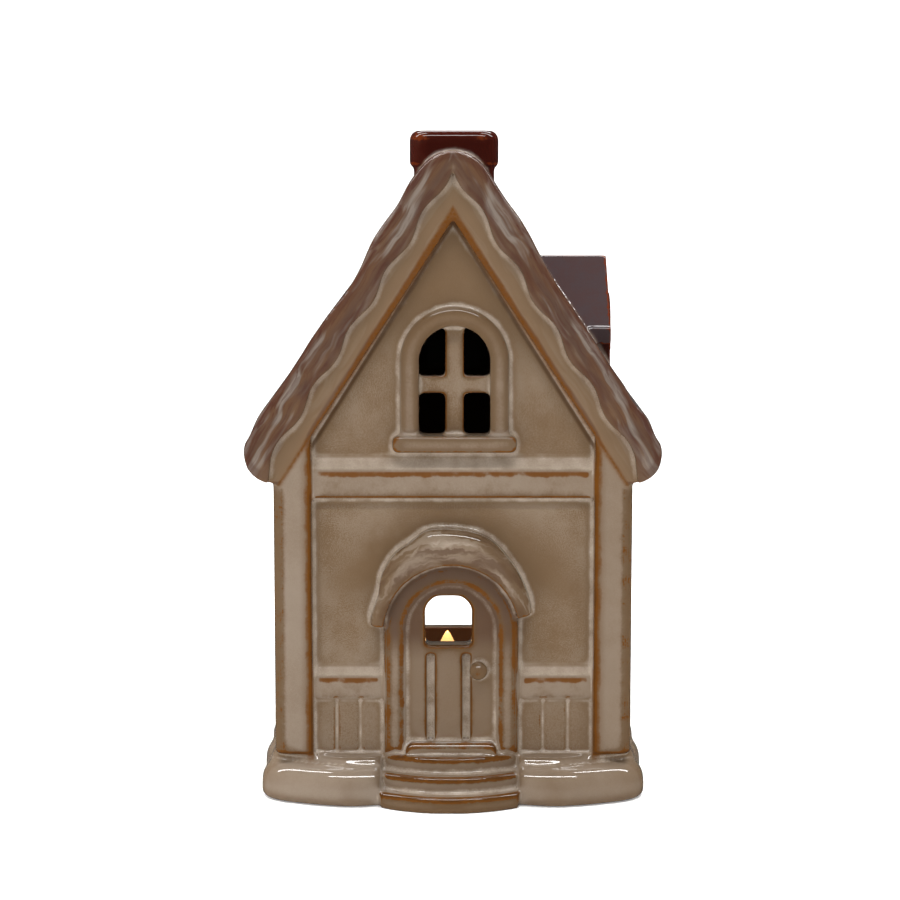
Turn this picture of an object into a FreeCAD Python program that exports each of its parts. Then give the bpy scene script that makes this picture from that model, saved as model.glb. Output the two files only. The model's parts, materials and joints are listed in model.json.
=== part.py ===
import FreeCAD, Part

import math
import os

from FreeCAD import Placement, Rotation, Vector

# Tealight house: a glazed ceramic cottage whose windows, door and chimney let the light out.
# Millimetres. The front looks along -Y, +X is to the right of the front, and the base is at z = 0.

SIZES = (
    ("wall_width", 78.0, "across the outer faces of the side walls"),
    ("wall_depth", 92.0, "over the outer faces of the front and back walls"),
    ("wall_thickness", 4.5, "thickness of every wall"),
    ("floor_height", 5.0, "top of the floor that the tealight stands on"),
    ("plinth_height", 10.5, "top of the plinth, where the walls start"),
    ("plinth_side", 4.2, "how far the plinth stands out beside the side walls"),
    ("plinth_front", 8.3, "how far the plinth stands out before the front wall"),
    ("plinth_corner", 14.0, "corner radius of the plinth"),
    ("plinth_lobe", 0.9, "height of the lobes round the plinth"),
    ("belly_height", 8.6, "height of the plinth's wide lower layer"),
    ("belly_round", 4.6, "radius of that layer's upper edge"),
    ("belly_foot_round", 1.8, "radius of its lower edge"),
    ("shoulder_round", 1.3, "radius of the plinth's upper edge, which starts beside the posts"),
    ("post_width", 8.6, "width of a corner post"),
    ("post_proud", 1.2, "how far a corner post stands out from the side walls"),
    ("post_front", 2.6, "how far a corner post stands out from the front and back walls"),
    ("post_round", 2.4, "radius of a post's outer corner"),
    ("gable_edge", 7.75, "height of a gable's upright ends, up to the roof's inner face"),
    ("roof_pitch", 57.7, "pitch of the main roof in degrees"),
    ("ridge_radius", 9.0, "radius of the ridge"),
    ("roof_thickness", 6.5, "thickness of a roof slope, square to it"),
    ("eave_overhang", 7.4, "how far the eaves stand out beside the side walls"),
    ("eave_droop", 2.2, "the eaves' widest point, below the line of the slope"),
    ("eave_curl", 5.4, "the eaves' lowest point, below their widest point"),
    ("eave_slant", 0.6, "the inner end of the thatch edge's foot, below its outer end"),
    ("wave_height", 1.2, "height of the largest wave of the thatch"),
    ("rib_wave_length", 16.0, "length of one wave of the rib"),
    ("rib_wave_height", 0.7, "height of the waves of the rib"),
    ("band_width", 12.2, "width of the thatch edge at the ridge, square to the slope"),
    ("band_foot_width", 10.9, "its width at its foot"),
    ("band_depth", 2.8, "how far the thatch edge stands out from the gable"),
    ("rib_width", 6.2, "width of the thick outer rib of the thatch edge"),
    ("rib_depth", 1.8, "how far the rib stands out from the thatch edge"),
    ("cornice_height", 6.3, "height of the beam below the gable"),
    ("cornice_proud", 1.9, "how far the beam stands out"),
    ("cornice_ledge", 3.3, "height of the sloping ledge on the beam"),
    ("door_centre", -0.4, "x of the door's centre line"),
    ("door_half", 10.2, "half the width of the door leaf"),
    ("door_side", 25.5, "height of the door leaf's straight sides, from the threshold to its round head"),
    ("threshold_height", 2.8, "height of the threshold above the top step"),
    ("threshold_reach", 3.8, "how far the threshold stands out from the wall"),
    ("threshold_round", 2.0, "radius of the threshold's upper edges"),
    ("door_proud", 1.6, "how far the door leaf stands out from the wall"),
    ("door_frame_width", 4.9, "width of the door frame"),
    ("door_frame_proud", 3.0, "how far the door frame stands out from the wall"),
    ("door_frame_round", 1.5, "radius of the door frame's front edges"),
    ("plank_groove", 1.8, "width of the grooves between the door's planks"),
    ("plank_groove_depth", 1.2, "depth of those grooves"),
    ("plank_half", 4.0, "half the width of the door's middle plank"),
    ("peep_centre", -1.0, "x of the centre of the door's window"),
    ("peep_half", 5.25, "half the width of the door's window"),
    ("peep_drop", 3.7, "lower edge of the door's window, below the start of the door's round head"),
    ("peep_rise", 7.7, "upper edge of the door's window, above that start"),
    ("peep_head", 3.9, "radius of its upper corners"),
    ("peep_corner", 1.1, "radius of its lower corners"),
    ("knob_radius", 2.1, "radius of the door knob"),
    ("knob_offset", 6.1, "the knob, right of the door's centre line"),
    ("knob_height", 16.4, "height of the knob above the threshold"),
    ("hood_crown", 8.1, "thickness of the hood over the door at its thickest"),
    ("hood_left_end", 4.0, "angle of the hood's left end above the spring of the door's head, in degrees"),
    ("hood_right_end", 12.0, "angle of its right end"),
    ("hood_proud", 5.6, "how far the hood stands out from the wall"),
    ("hood_round", 2.4, "radius of the hood's outer front edge"),
    ("hood_gap", 6.55, "bare wall between the hood and the beam above it"),
    ("rail_height", 5.0, "height of the wainscot rail"),
    ("rail_proud", 1.6, "how far the rail stands out"),
    ("ledge_height", 2.6, "height of the sloping ledge on the rail"),
    ("board_lift", 0.8, "lower edge of the wainscot boards, above the plinth"),
    ("wainscot_height", 12.0, "height of the wainscot boards"),
    ("board_proud", 0.8, "how far the boards stand out"),
    ("board_groove", 1.1, "width of the grooves between the boards"),
    ("window_centre", 0.35, "x of the centre of the gable window"),
    ("window_half", 7.9, "half the width over the panes"),
    ("window_lift", 11.0, "lower edge of the panes, above the gable's foot"),
    ("window_side", 16.4, "height of the panes' straight sides"),
    ("window_border", 1.1, "rim of the window bars that lies behind the frame"),
    ("window_frame_width", 4.2, "width of the window frame"),
    ("window_frame_proud", 2.1, "how far the window frame stands out"),
    ("window_frame_round", 1.2, "radius of the window frame's front edges"),
    ("mullion", 4.2, "width of the upright bar"),
    ("transom", 3.8, "height of the cross bar"),
    ("transom_lift", 9.3, "lower edge of the cross bar, above the lower edge of the panes"),
    ("bar_depth", 3.4, "depth of the bars"),
    ("bar_set_back", 0.4, "how far the bars lie behind the frame's face"),
    ("pane_corner", 1.0, "radius of the corners of a pane"),
    ("sill_half", 13.8, "half the length of the window sill"),
    ("sill_height", 3.8, "height of the window sill"),
    ("sill_proud", 3.4, "how far the window sill stands out"),
    ("step_centre", -0.75, "x of the centre of the steps"),
    ("step_half", 15.5, "half the width of the steps"),
    ("step_lift", 0.3, "height of the top step above the plinth"),
    ("step_run", 3.7, "run of one step"),
    ("landing_reach", 6.6, "how far the top step stands out from the wall"),
    ("step_bow", 5.0, "how far the middle of a step lies before its ends"),
    ("step_round", 0.9, "radius of a step's nosing"),
    ("arch_half", 23.5, "half the width of the opening in the back wall"),
    ("arch_sill_gap", 0.8, "the sill of that opening, above the tealight's rim"),
    ("arch_head_gap", 6.0, "bare wall above its crown"),
    ("chimney_centre", 0.3, "x of the centre of the chimney"),
    ("chimney_half", 9.5, "half the width of the chimney stack"),
    ("chimney_depth", 18.5, "depth of the chimney stack"),
    ("chimney_drop", 3.0, "top of the chimney, below where the outer slopes would meet"),
    ("cap_height", 8.4, "height of the chimney's cap"),
    ("cap_proud", 1.0, "how far the cap stands out from the stack"),
    ("cap_round", 2.2, "radius of the cap's edges"),
    ("flue_radius", 5.0, "radius of the flue"),
    ("dormer_half", 18.0, "half the width of the dormer"),
    ("dormer_set_back", 2.2, "the dormer's face, behind the side wall's face"),
    ("dormer_ridge_rise", 26.0, "the dormer's ridge, above the foot of its face"),
    ("dormer_eave_rise", 9.5, "the dormer's eaves, above the foot of its face"),
    ("dormer_overhang", 2.5, "how far its eaves stand out beside its walls"),
    ("dormer_roof", 3.0, "thickness of the dormer's roof, square to it"),
    ("dormer_wall", 3.0, "thickness of the dormer's walls"),
    ("dormer_window_half", 5.0, "half the width of the dormer's window"),
    ("dormer_window_lift", 3.2, "lower edge of the dormer's window, above the foot of its face"),
    ("dormer_window_side", 6.0, "height of its straight sides"),
    ("dormer_frame_width", 2.6, "width of its frame"),
    ("dormer_frame_proud", 0.8, "how far its frame stands out"),
    ("dormer_bar", 1.8, "width of its bars"),
    ("light_centre_x", -1.3, "x of the tealight's axis"),
    ("light_centre_y", -8.0, "y of the tealight's axis"),
    ("light_radius", 18.5, "radius of the tealight"),
    ("light_height", 16.0, "height of the tealight's rim"),
    ("light_wall", 1.2, "wall thickness of the tealight's housing"),
    ("flame_length", 11.8, "height of the flame above the housing's collar"),
    ("flame_radius", 3.7, "widest radius of the flame"),
    ("cell_radius", 10.0, "radius of the coin cell"),
    ("cell_height", 3.2, "thickness of the coin cell"),
    ("plate_foot", 0.6, "height of the base plate above the tealight's rim"),
    ("plate_thickness", 1.2, "thickness of the base plate"),
    ("tray_wall", 1.7, "wall thickness of the ring round the cell"),
    ("fit_gap", 0.3, "clearance of loose plastic parts"),
    ("contact_thickness", 0.25, "thickness of the contact strips"),
    ("contact_width", 4.0, "width of the contact strips"),
    ("board_radius", 13.6, "radius of the circuit board"),
    ("board_thickness", 1.0, "thickness of the circuit board"),
    ("board_height", 10.2, "underside of the circuit board above the rim"),
    ("led_radius", 1.5, "radius of the LED"),
    ("screw_radius", 0.7, "radius of the battery door's screw"),
    ("screw_head", 1.5, "radius of its head"),
    ("switch_centre", 14.2, "the switch, before the tealight's axis"),
    ("switch_travel", 3.0, "travel of the switch"),
    ("nub_half", 1.3, "half the length of the switch's nub"),
    ("overrun", 2.0, "how far a cutting tool runs past what it cuts"),
)

LOBES_PER_QUARTER = 4
POINTS_PER_QUARTER = 20
POINTS_PER_WAVE = 6
STEP_COUNT = 3
LIP_SHARE = 0.8
HALF_TURN = 180
LEFT_WAVE_SHARES = (
    0, 0.25, 0.1, -0.08, 0.12, 0.3, 0.35, 0.08, -0.33, -0.58, -0.62, -0.42, -0.12, 0.08, 0.2, 0.3, 0.25, 0.3,
    0.35, 0.5, 0.7, 0.88, 0.92, 0.52, 0.42,
)
RIGHT_WAVE_SHARES = (
    0, 0, 0, 0.12, 0.35, 0.35, 0.25, 0, -0.12, -0.25, -0.3, -0.25, -0.12, -0.04, 0, 0.04, 0.08, 0.1, 0.2,
    0.33, 0.17, 0.5, 0.8, 0.35, 0.3,
)
HOOD_SHARES = (
    0.41, 0.47, 0.53, 0.62, 0.72, 0.86, 0.945, 0.965, 0.99, 1, 0.85, 0.8, 0.69, 0.53, 0.37, 0.38, 0.37,
)
BOARD_COUNT = 3
SIDE_BOARD_COUNT = 16
POST_COUNT = 3
INNER_TIP_SHARE = 0.8
NUB_WIDTH_SHARE = 0.7
CONTACT_SHARE = 0.7
POST_SHARE = 0.7
TAB_SHARE = 1.4

doc = FreeCAD.newDocument("TealightHouse")
sheet = doc.addObject("Spreadsheet::Sheet", "Sizes")
for row, (alias, value, note) in enumerate(SIZES, start=1):
    sheet.set(f"A{row}", alias)
    sheet.set(f"B{row}", str(value))
    sheet.setAlias(f"B{row}", alias)
    sheet.set(f"C{row}", note)
doc.recompute()

size = {alias: float(sheet.get(alias)) for alias, value, note in SIZES}
finished = []

# Sizes that follow from the sheet

wall_x = size["wall_width"] / 2
wall_y = size["wall_depth"] / 2
room_x = wall_x - size["wall_thickness"]
room_y = wall_y - size["wall_thickness"]
post_x = wall_x + size["post_proud"]
post_y = wall_y + size["post_front"]
between_x = post_x - size["post_width"]
between_y = post_y - size["post_width"]
pitch = math.radians(size["roof_pitch"])
slope_out = (math.sin(pitch), math.cos(pitch))
top_step = size["plinth_height"] + size["step_lift"]
step_rise = top_step / STEP_COUNT
door_foot = top_step + size["threshold_height"]
door_spring = door_foot + size["door_side"]
frame_outer = size["door_half"] + size["door_frame_width"]
hood_top = door_spring + frame_outer + size["hood_crown"]
gable_foot = hood_top + size["hood_gap"] + size["cornice_height"] / 2
board_foot = size["plinth_height"] + size["board_lift"]
rail_foot = board_foot + size["wainscot_height"]
arch_sill = size["floor_height"] + size["light_height"] + size["arch_sill_gap"]
arch_spring = gable_foot - size["arch_head_gap"] - size["arch_half"]
window_foot = gable_foot + size["window_lift"]
window_spring = window_foot + size["window_side"]
inner_apex = gable_foot + size["gable_edge"] + wall_x * math.tan(pitch)
roof_apex = inner_apex + size["roof_thickness"] / math.cos(pitch)
eave_reach = wall_x + size["eave_overhang"]
eave_tip = roof_apex - eave_reach * math.tan(pitch) - size["eave_droop"]
eave_foot = eave_tip - size["eave_curl"]
band_foot = eave_foot - size["eave_slant"]


def roof_height(x, depth=0.0):
    """Height of a line parallel to the roof's outer slope, so deep below it, at a place beside the ridge."""
    return roof_apex - abs(x) * math.tan(pitch) - depth / math.cos(pitch)


def roof_reach(height, depth=0.0):
    """The place beside the ridge where that line has this height."""
    return (roof_apex - depth / math.cos(pitch) - height) / math.tan(pitch)


# The same sizes as expressions on the sheet

FRONT = "Sizes.wall_depth / 2"
ROOM_FRONT = "Sizes.wall_depth / 2 - Sizes.wall_thickness"
TOP_STEP = "(Sizes.plinth_height + Sizes.step_lift)"
DOOR_FOOT = f"({TOP_STEP} + Sizes.threshold_height)"
HOOD_TOP = (
    f"({DOOR_FOOT} + Sizes.door_side + Sizes.door_half + Sizes.door_frame_width"
    " + Sizes.hood_crown)"
)
GABLE_FOOT = f"({HOOD_TOP} + Sizes.hood_gap + Sizes.cornice_height / 2)"
APEX = (
    f"({GABLE_FOOT} + Sizes.gable_edge + Sizes.wall_width / 2 * tan(Sizes.roof_pitch)"
    " + Sizes.roof_thickness / cos(Sizes.roof_pitch))"
)
CHIMNEY_TOP = f"({APEX} - Sizes.chimney_drop)"

# Outlines


def at(x, y):
    return Vector(x, y, 0)


def polygon(points):
    ends = points[1:] + points[:1]
    return [Part.LineSegment(at(*start), at(*end)) for start, end in zip(points, ends)]


def upright_box(low, high, foot, top):
    return polygon([(low, foot), (high, foot), (high, top), (low, top)])


def chain(points):
    return [Part.LineSegment(at(*start), at(*end)) for start, end in zip(points, points[1:])]


def spline(points, closed=False):
    curve = Part.BSplineCurve()
    curve.interpolate(Points=[at(*point) for point in points], PeriodicFlag=closed)
    return curve


def corner_arc(x, y, radius, first, last):
    circle = Part.Circle(at(x, y), Vector(0, 0, 1), radius)
    return Part.ArcOfCircle(circle, math.radians(first), math.radians(last))


def circle(x, y, radius):
    return [Part.Circle(at(x, y), Vector(0, 0, 1), radius)]


def three_point_arc(start, middle, end):
    return Part.Arc(at(*start), at(*middle), at(*end))


def rounded_box(x_low, x_high, y_low, y_high, foot_radius, head_radius):
    """A rectangle with one radius at its two lower corners and one at its two upper corners."""
    low = foot_radius
    high = head_radius
    curves = [
        Part.LineSegment(at(x_low + low, y_low), at(x_high - low, y_low)),
        corner_arc(x_high - low, y_low + low, low, 270, 360),
        Part.LineSegment(at(x_high, y_low + low), at(x_high, y_high - high)),
        corner_arc(x_high - high, y_high - high, high, 0, 90),
        Part.LineSegment(at(x_high - high, y_high), at(x_low + high, y_high)),
        corner_arc(x_low + high, y_high - high, high, 90, 180),
        Part.LineSegment(at(x_low, y_high - high), at(x_low, y_low + low)),
        corner_arc(x_low + low, y_low + low, low, 180, 270),
    ]
    return curves


def arch(centre, half, foot, spring):
    """A rectangle with a half round head."""
    left = centre - half
    right = centre + half
    return [
        Part.LineSegment(at(left, foot), at(right, foot)),
        Part.LineSegment(at(right, foot), at(right, spring)),
        corner_arc(centre, spring, half, 0, 180),
        Part.LineSegment(at(left, spring), at(left, foot)),
    ]


def arch_band(centre, inner, width, foot, spring):
    """An upside-down U: an arch with straight legs and an open foot."""
    outer = inner + width
    return [
        Part.LineSegment(at(centre - outer, foot), at(centre - inner, foot)),
        Part.LineSegment(at(centre - inner, foot), at(centre - inner, spring)),
        corner_arc(centre, spring, inner, 0, 180),
        Part.LineSegment(at(centre + inner, spring), at(centre + inner, foot)),
        Part.LineSegment(at(centre + inner, foot), at(centre + outer, foot)),
        Part.LineSegment(at(centre + outer, foot), at(centre + outer, spring)),
        corner_arc(centre, spring, outer, 0, 180),
        Part.LineSegment(at(centre - outer, spring), at(centre - outer, foot)),
    ]


def head_pane(centre, side, inner, outer, foot, spring):
    """The pane on one side of the upright bar, under a round head."""
    rise = math.sqrt(outer ** 2 - inner ** 2)
    angle = math.degrees(math.asin(rise / outer))
    first, last = (0, angle) if side > 0 else (180 - angle, 180)
    return [
        Part.LineSegment(at(centre + side * inner, foot), at(centre + side * outer, foot)),
        Part.LineSegment(at(centre + side * outer, foot), at(centre + side * outer, spring)),
        corner_arc(centre, spring, outer, first, last),
        Part.LineSegment(at(centre + side * inner, spring + rise), at(centre + side * inner, foot)),
    ]


def foot_pane(centre, side, inner, outer, foot, head):
    """The lower pane on one side of the upright bar."""
    left, right = sorted((centre + side * inner, centre + side * outer))
    return rounded_box(left, right, foot, head, size["pane_corner"], size["pane_corner"])


def window_panes(centre, half, bar, foot, bar_foot, bar_head, spring):
    curves = []
    for side in (-1, 1):
        curves += foot_pane(centre, side, bar / 2, half, foot, bar_foot)
        curves += head_pane(centre, side, bar / 2, half, bar_head, spring)
    return curves


def lobed_outline(half_x, half_y):
    """A rounded rectangle whose edge swells in even lobes, as one smooth closed curve."""
    corner = size["plinth_corner"]
    run_x = half_x - corner
    run_y = half_y - corner
    turn = corner * math.pi / 2
    quarter = []
    for step in range(POINTS_PER_QUARTER + 1):
        share = step / POINTS_PER_QUARTER
        walked = share * (run_y + turn + run_x)
        angle = min(max((walked - run_y) / corner, 0), math.pi / 2)
        lobe = size["plinth_lobe"] * math.cos(2 * math.pi * LOBES_PER_QUARTER * share)
        x = run_x + (corner + lobe) * math.cos(angle) - max(walked - run_y - turn, 0)
        y = min(walked, run_y) + (corner + lobe) * math.sin(angle)
        quarter.append((x, y))
    back_left = [(-x, y) for x, y in reversed(quarter)]
    back = quarter[:-1] + back_left[:-1]
    front = [(-x, -y) for x, y in back]
    return [spline(back + front, closed=True)]


def thatch_points(side):
    """The outer line of one slope, with its waves, from the ridge's round to the eave."""
    shares = LEFT_WAVE_SHARES if side < 0 else RIGHT_WAVE_SHARES
    start = size["ridge_radius"] * slope_out[0]
    stop = eave_reach - size["wave_height"] / 2
    points = []
    for step, share in enumerate(shares):
        x = start + (stop - start) * step / (len(shares) - 1)
        swell = size["wave_height"] * share
        points.append((side * (x + swell * slope_out[0]), roof_height(x) + swell * slope_out[1]))
    return points


def rib_points(side):
    """The wavy inner line of the rib, from its foot to the ridge."""
    foot = roof_reach(eave_tip, size["rib_width"])
    waves = max(round(foot / math.cos(pitch) / size["rib_wave_length"]), 1)
    count = waves * POINTS_PER_WAVE
    points = []
    for step in range(count + 1):
        share = step / count
        x = foot * (1 - share)
        swell = size["rib_wave_height"] * math.sin(2 * math.pi * waves * share)
        height = roof_height(x, size["rib_width"]) + swell * slope_out[1]
        points.append((side * (x + swell * slope_out[0]), height))
    return points


def band_height(x):
    """Height of the thatch edge's straight inner line, at a place beside the ridge."""
    top = roof_height(0.0, size["band_width"])
    return top - (top - band_foot) * x / roof_reach(band_foot, size["band_foot_width"])


def ridge_point(angle):
    """A place on the ridge's round, at an angle above the horizontal."""
    radius = size["ridge_radius"]
    centre = roof_height(0.0, radius)
    return (radius * math.cos(angle), centre + radius * math.sin(angle))


def ridge_arc():
    """The ridge's round between the two slopes' outer lines."""
    return three_point_arc(thatch_points(-1)[0], ridge_point(math.pi / 2), thatch_points(1)[0])


def slope_outline(side):
    """One slope of the roof, seen from the front: wavy outside, straight inside."""
    points = thatch_points(side)
    depth = size["roof_thickness"]
    crown = ridge_point(math.pi / 2)
    middle = ridge_point(math.pi / 2 - pitch / 2)
    foot = eave_foot + size["eave_curl"] / 4
    end = (side * roof_reach(foot, depth), foot)
    inner = (0.0, roof_height(0.0, depth))
    return [
        three_point_arc(crown, (side * middle[0], middle[1]), points[0]),
        spline(points),
        three_point_arc(points[-1], (side * eave_reach, eave_tip), end),
        Part.LineSegment(at(*end), at(*inner)),
        Part.LineSegment(at(*inner), at(*crown)),
    ]


def eave_end(side):
    """The outer end of the thatch edge's foot."""
    return (side * (eave_reach - size["eave_curl"]), eave_foot)


def band_outline():
    """The thatch edge on a gable: wavy outside and straight inside."""
    curves = [ridge_arc()]
    for side in (-1, 1):
        points = thatch_points(side)
        end = eave_end(side)
        foot = (side * roof_reach(band_foot, size["band_foot_width"]), band_foot)
        curves.append(spline(points))
        curves.append(three_point_arc(points[-1], (side * eave_reach, eave_tip), end))
        curves += chain([end, foot, (0.0, band_height(0.0))])
    return curves


def rib_outline():
    """The thick outer rib of the thatch edge: wavy on both sides."""
    curves = [ridge_arc()]
    for side in (-1, 1):
        points = thatch_points(side)
        inside = rib_points(side)
        end = eave_end(side)
        curves.append(spline(points))
        curves.append(three_point_arc(points[-1], (side * eave_reach, eave_tip), end))
        curves.append(Part.LineSegment(at(*end), at(*inside[0])))
        curves.append(spline(inside))
    return curves


def hood_outline():
    """The hood over the door: a lumpy arch, thick at its crown, that sits on the door frame."""
    centre_x = size["door_centre"]
    centre_y = door_spring
    inner = frame_outer
    first = size["hood_right_end"]
    last = HALF_TURN - size["hood_left_end"]
    outer = []
    for step, share in enumerate(HOOD_SHARES):
        angle = math.radians(first + (last - first) * step / (len(HOOD_SHARES) - 1))
        radius = inner + size["hood_crown"] * share
        outer.append((centre_x + radius * math.cos(angle), centre_y + radius * math.sin(angle)))
    ends = []
    for angle in (math.radians(first), math.radians(last)):
        ends.append((centre_x + inner * math.cos(angle), centre_y + inner * math.sin(angle)))
    return [
        spline(outer),
        Part.LineSegment(at(*outer[-1]), at(*ends[1])),
        corner_arc(centre_x, centre_y, inner, first, last),
        Part.LineSegment(at(*ends[0]), at(*outer[0])),
    ]


# Making sub-parts

def new_body(label):
    body = doc.addObject("PartDesign::Body", label)
    body.Label = label
    return body


def origin_plane(body, role):
    return next(feature for feature in body.Origin.OriginFeatures if feature.Role == role)


def draw(body, role, curves, start):
    """A sketch on one of the body's planes, moved along the plane's normal to the start."""
    sketch = body.newObject("Sketcher::SketchObject", body.Name + "_sketch")
    sketch.AttachmentSupport = (origin_plane(body, role), [""])
    sketch.MapMode = "FlatFace"
    sketch.setExpression(".AttachmentOffset.Base.z", start)
    for curve in curves:
        sketch.addGeometry(curve, False)
    return sketch


def add_pad(body, role, curves, start, length):
    pad = body.newObject("PartDesign::Pad", body.Name + "_pad")
    pad.Profile = draw(body, role, curves, start)
    pad.setExpression("Length", length)
    pad.Refine = False
    doc.recompute()
    return pad


def add_pocket(body, role, curves, start, length):
    """Cuts from the start along the plane's normal."""
    before = body.Shape.Volume
    pocket = body.newObject("PartDesign::Pocket", body.Name + "_pocket")
    pocket.Profile = draw(body, role, curves, start)
    pocket.setExpression("Length", length)
    pocket.Reversed = True
    pocket.Refine = False
    doc.recompute()
    if body.Shape.Volume >= before:
        raise RuntimeError(f"the pocket in {body.Label} cuts nothing")
    return pocket


def add_revolution(body, curves):
    """Turns a profile in the upright plane round the z axis."""
    turned = body.newObject("PartDesign::Revolution", body.Name + "_turned")
    turned.Profile = draw(body, "XZ_Plane", curves, "0")
    turned.ReferenceAxis = (origin_plane(body, "Z_Axis"), [""])
    turned.Angle = 360
    doc.recompute()
    return turned


def round_edges(body, radius, wanted):
    """Rounds the edges that the test picks."""
    base = body.Tip
    picked = [f"Edge{number}" for number, edge in enumerate(base.Shape.Edges, start=1) if wanted(edge)]
    fillet = body.newObject("PartDesign::Fillet", body.Name + "_round")
    fillet.Base = (base, picked)
    fillet.setExpression("Radius", radius)
    fillet.Refine = False
    doc.recompute()
    return fillet


def pad_body(label, role, curves, start, length):
    body = new_body(label)
    add_pad(body, role, curves, start, length)
    return body


def keep(item):
    finished.append(item)
    return item


def box(label, x_low, x_high, y_low, y_high, z_low, z_high):
    """A block between six places, each an expression on the sheet."""
    block = doc.addObject("Part::Box", label)
    block.setExpression("Length", f"({x_high}) - ({x_low})")
    block.setExpression("Width", f"({y_high}) - ({y_low})")
    block.setExpression("Height", f"({z_high}) - ({z_low})")
    block.setExpression(".Placement.Base.x", x_low)
    block.setExpression(".Placement.Base.y", y_low)
    block.setExpression(".Placement.Base.z", z_low)
    block.Label = label
    return block


def combine(kind, label, base, tool):
    result = doc.addObject(kind, label)
    result.Base = base
    result.Tool = tool
    result.Label = label
    doc.recompute()
    return result


def cut(label, base, *tools):
    for number, tool in enumerate(tools, start=1):
        name = label if number == len(tools) else f"{label}_cut_{number}"
        base = combine("Part::Cut", name, base, tool)
    return base


def lies_at(edge, axis, place):
    """True for an edge that lies in the plane square to the axis at this place."""
    bounds = edge.BoundBox
    low = (bounds.XMin, bounds.YMin, bounds.ZMin)[axis]
    high = (bounds.XMax, bounds.YMax, bounds.ZMax)[axis]
    tolerance = size["wall_thickness"] / 100
    return abs(low - place) < tolerance and abs(high - place) < tolerance


# Shapes that the roof cuts other parts with

reach = eave_reach * 2
under_roof = pad_body(
    "space_under_roof", "XZ_Plane",
    polygon([
        (-reach, roof_height(reach, size["roof_thickness"])),
        (reach, roof_height(reach, size["roof_thickness"])),
        (0.0, roof_height(0.0, size["roof_thickness"])),
    ]),
    f"-({FRONT})", "Sizes.wall_depth",
)


def envelope_outline():
    """All that lies below the outer surface of the roof."""
    left = thatch_points(-1)
    right = thatch_points(1)
    ends = chain([right[-1], (right[-1][0], 0.0), (left[-1][0], 0.0), left[-1]])
    return [ridge_arc(), spline(right), spline(left)] + ends


roof_envelope = pad_body(
    "space_below_thatch", "XZ_Plane", envelope_outline(),
    f"-({FRONT})", "Sizes.wall_depth",
)

# Plinth with the floor, and the steps before the door


def make_plinth():
    """A mound in two soft layers: a wide belly, and a shoulder that the walls stand on."""
    body = new_body("plinth_base")
    half_x = wall_x + size["plinth_side"]
    half_y = wall_y + size["plinth_front"]
    add_pad(body, "XY_Plane", lobed_outline(half_x, half_y), "0", "Sizes.belly_height")
    belly_top = size["belly_height"]
    round_edges(body, "Sizes.belly_round", lambda edge: lies_at(edge, 2, belly_top))
    round_edges(body, "Sizes.belly_foot_round", lambda edge: lies_at(edge, 2, 0.0))
    shoulder = lobed_outline(post_x + size["shoulder_round"], post_y + size["shoulder_round"])
    add_pad(body, "XY_Plane", shoulder, "Sizes.floor_height", "Sizes.plinth_height - Sizes.floor_height")
    top = size["plinth_height"]
    round_edges(body, "Sizes.shoulder_round", lambda edge: lies_at(edge, 2, top))
    inner_round = size["post_round"]
    room = rounded_box(-room_x, room_x, -room_y, room_y, inner_round, inner_round)
    add_pocket(body, "XY_Plane", room, "Sizes.floor_height", "Sizes.plinth_height")
    left = size["step_centre"] - size["step_half"]
    right = size["step_centre"] + size["step_half"]
    front = -wall_y - size["landing_reach"] - STEP_COUNT * size["step_run"]
    notch = polygon([(left, front), (right, front), (right, -wall_y), (left, -wall_y)])
    add_pocket(body, "XY_Plane", notch, "-Sizes.overrun", "Sizes.plinth_height + 2 * Sizes.overrun")
    return body


def tread(half, reach):
    """One step seen from above: straight sides and a bowed front."""
    left = size["step_centre"] - half
    right = size["step_centre"] + half
    side = -wall_y - reach + size["step_bow"] * (half / size["step_half"]) ** 2
    middle = (size["step_centre"], -wall_y - reach)
    curves = chain([(right, side), (right, -wall_y), (left, -wall_y), (left, side)])
    curves.append(three_point_arc((left, side), middle, (right, side)))
    return curves


def make_steps():
    body = new_body("door_steps")
    for step in range(1, STEP_COUNT + 1):
        reach = size["landing_reach"] + (STEP_COUNT - step) * size["step_run"]
        add_pad(body, "XY_Plane", tread(size["step_half"], reach), "0", f"{TOP_STEP} * {step} / {STEP_COUNT}")
    left = size["door_centre"] - size["door_half"]
    right = size["door_centre"] + size["door_half"]
    block = upright_box(left, right, -wall_y - size["threshold_reach"], -wall_y)
    add_pad(body, "XY_Plane", block, "0", DOOR_FOOT)
    noses = [step_rise * step for step in range(1, STEP_COUNT + 1)]

    def is_nosing(edge):
        bounds = edge.BoundBox
        on_top = any(lies_at(edge, 2, height) for height in noses)
        wide = bounds.XLength > size["step_half"]
        return on_top and wide and edge.Curve.TypeId == "Part::GeomCircle"

    def is_threshold_edge(edge):
        return lies_at(edge, 2, door_foot) and not lies_at(edge, 1, -wall_y)

    round_edges(body, "Sizes.step_round", is_nosing)
    round_edges(body, "Sizes.threshold_round", is_threshold_edge)
    return body


keep(make_plinth())
keep(make_steps())

# Walls, posts and gables


def peep_hole():
    left = size["peep_centre"] - size["peep_half"]
    right = size["peep_centre"] + size["peep_half"]
    foot = door_spring - size["peep_drop"]
    top = door_spring + size["peep_rise"]
    return rounded_box(left, right, foot, top, size["peep_corner"], size["peep_head"])


def window_hole():
    rim = size["window_border"]
    return arch(size["window_centre"], size["window_half"] + rim, window_foot - rim, window_spring)


def long_wall(label, holes, start):
    """The front or back wall, between the posts and below the gable."""
    outline = polygon([
        (-between_x, size["plinth_height"]),
        (between_x, size["plinth_height"]),
        (between_x, gable_foot),
        (-between_x, gable_foot),
    ])
    return pad_body(label, "XZ_Plane", outline + holes, start, "Sizes.wall_thickness")


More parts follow.
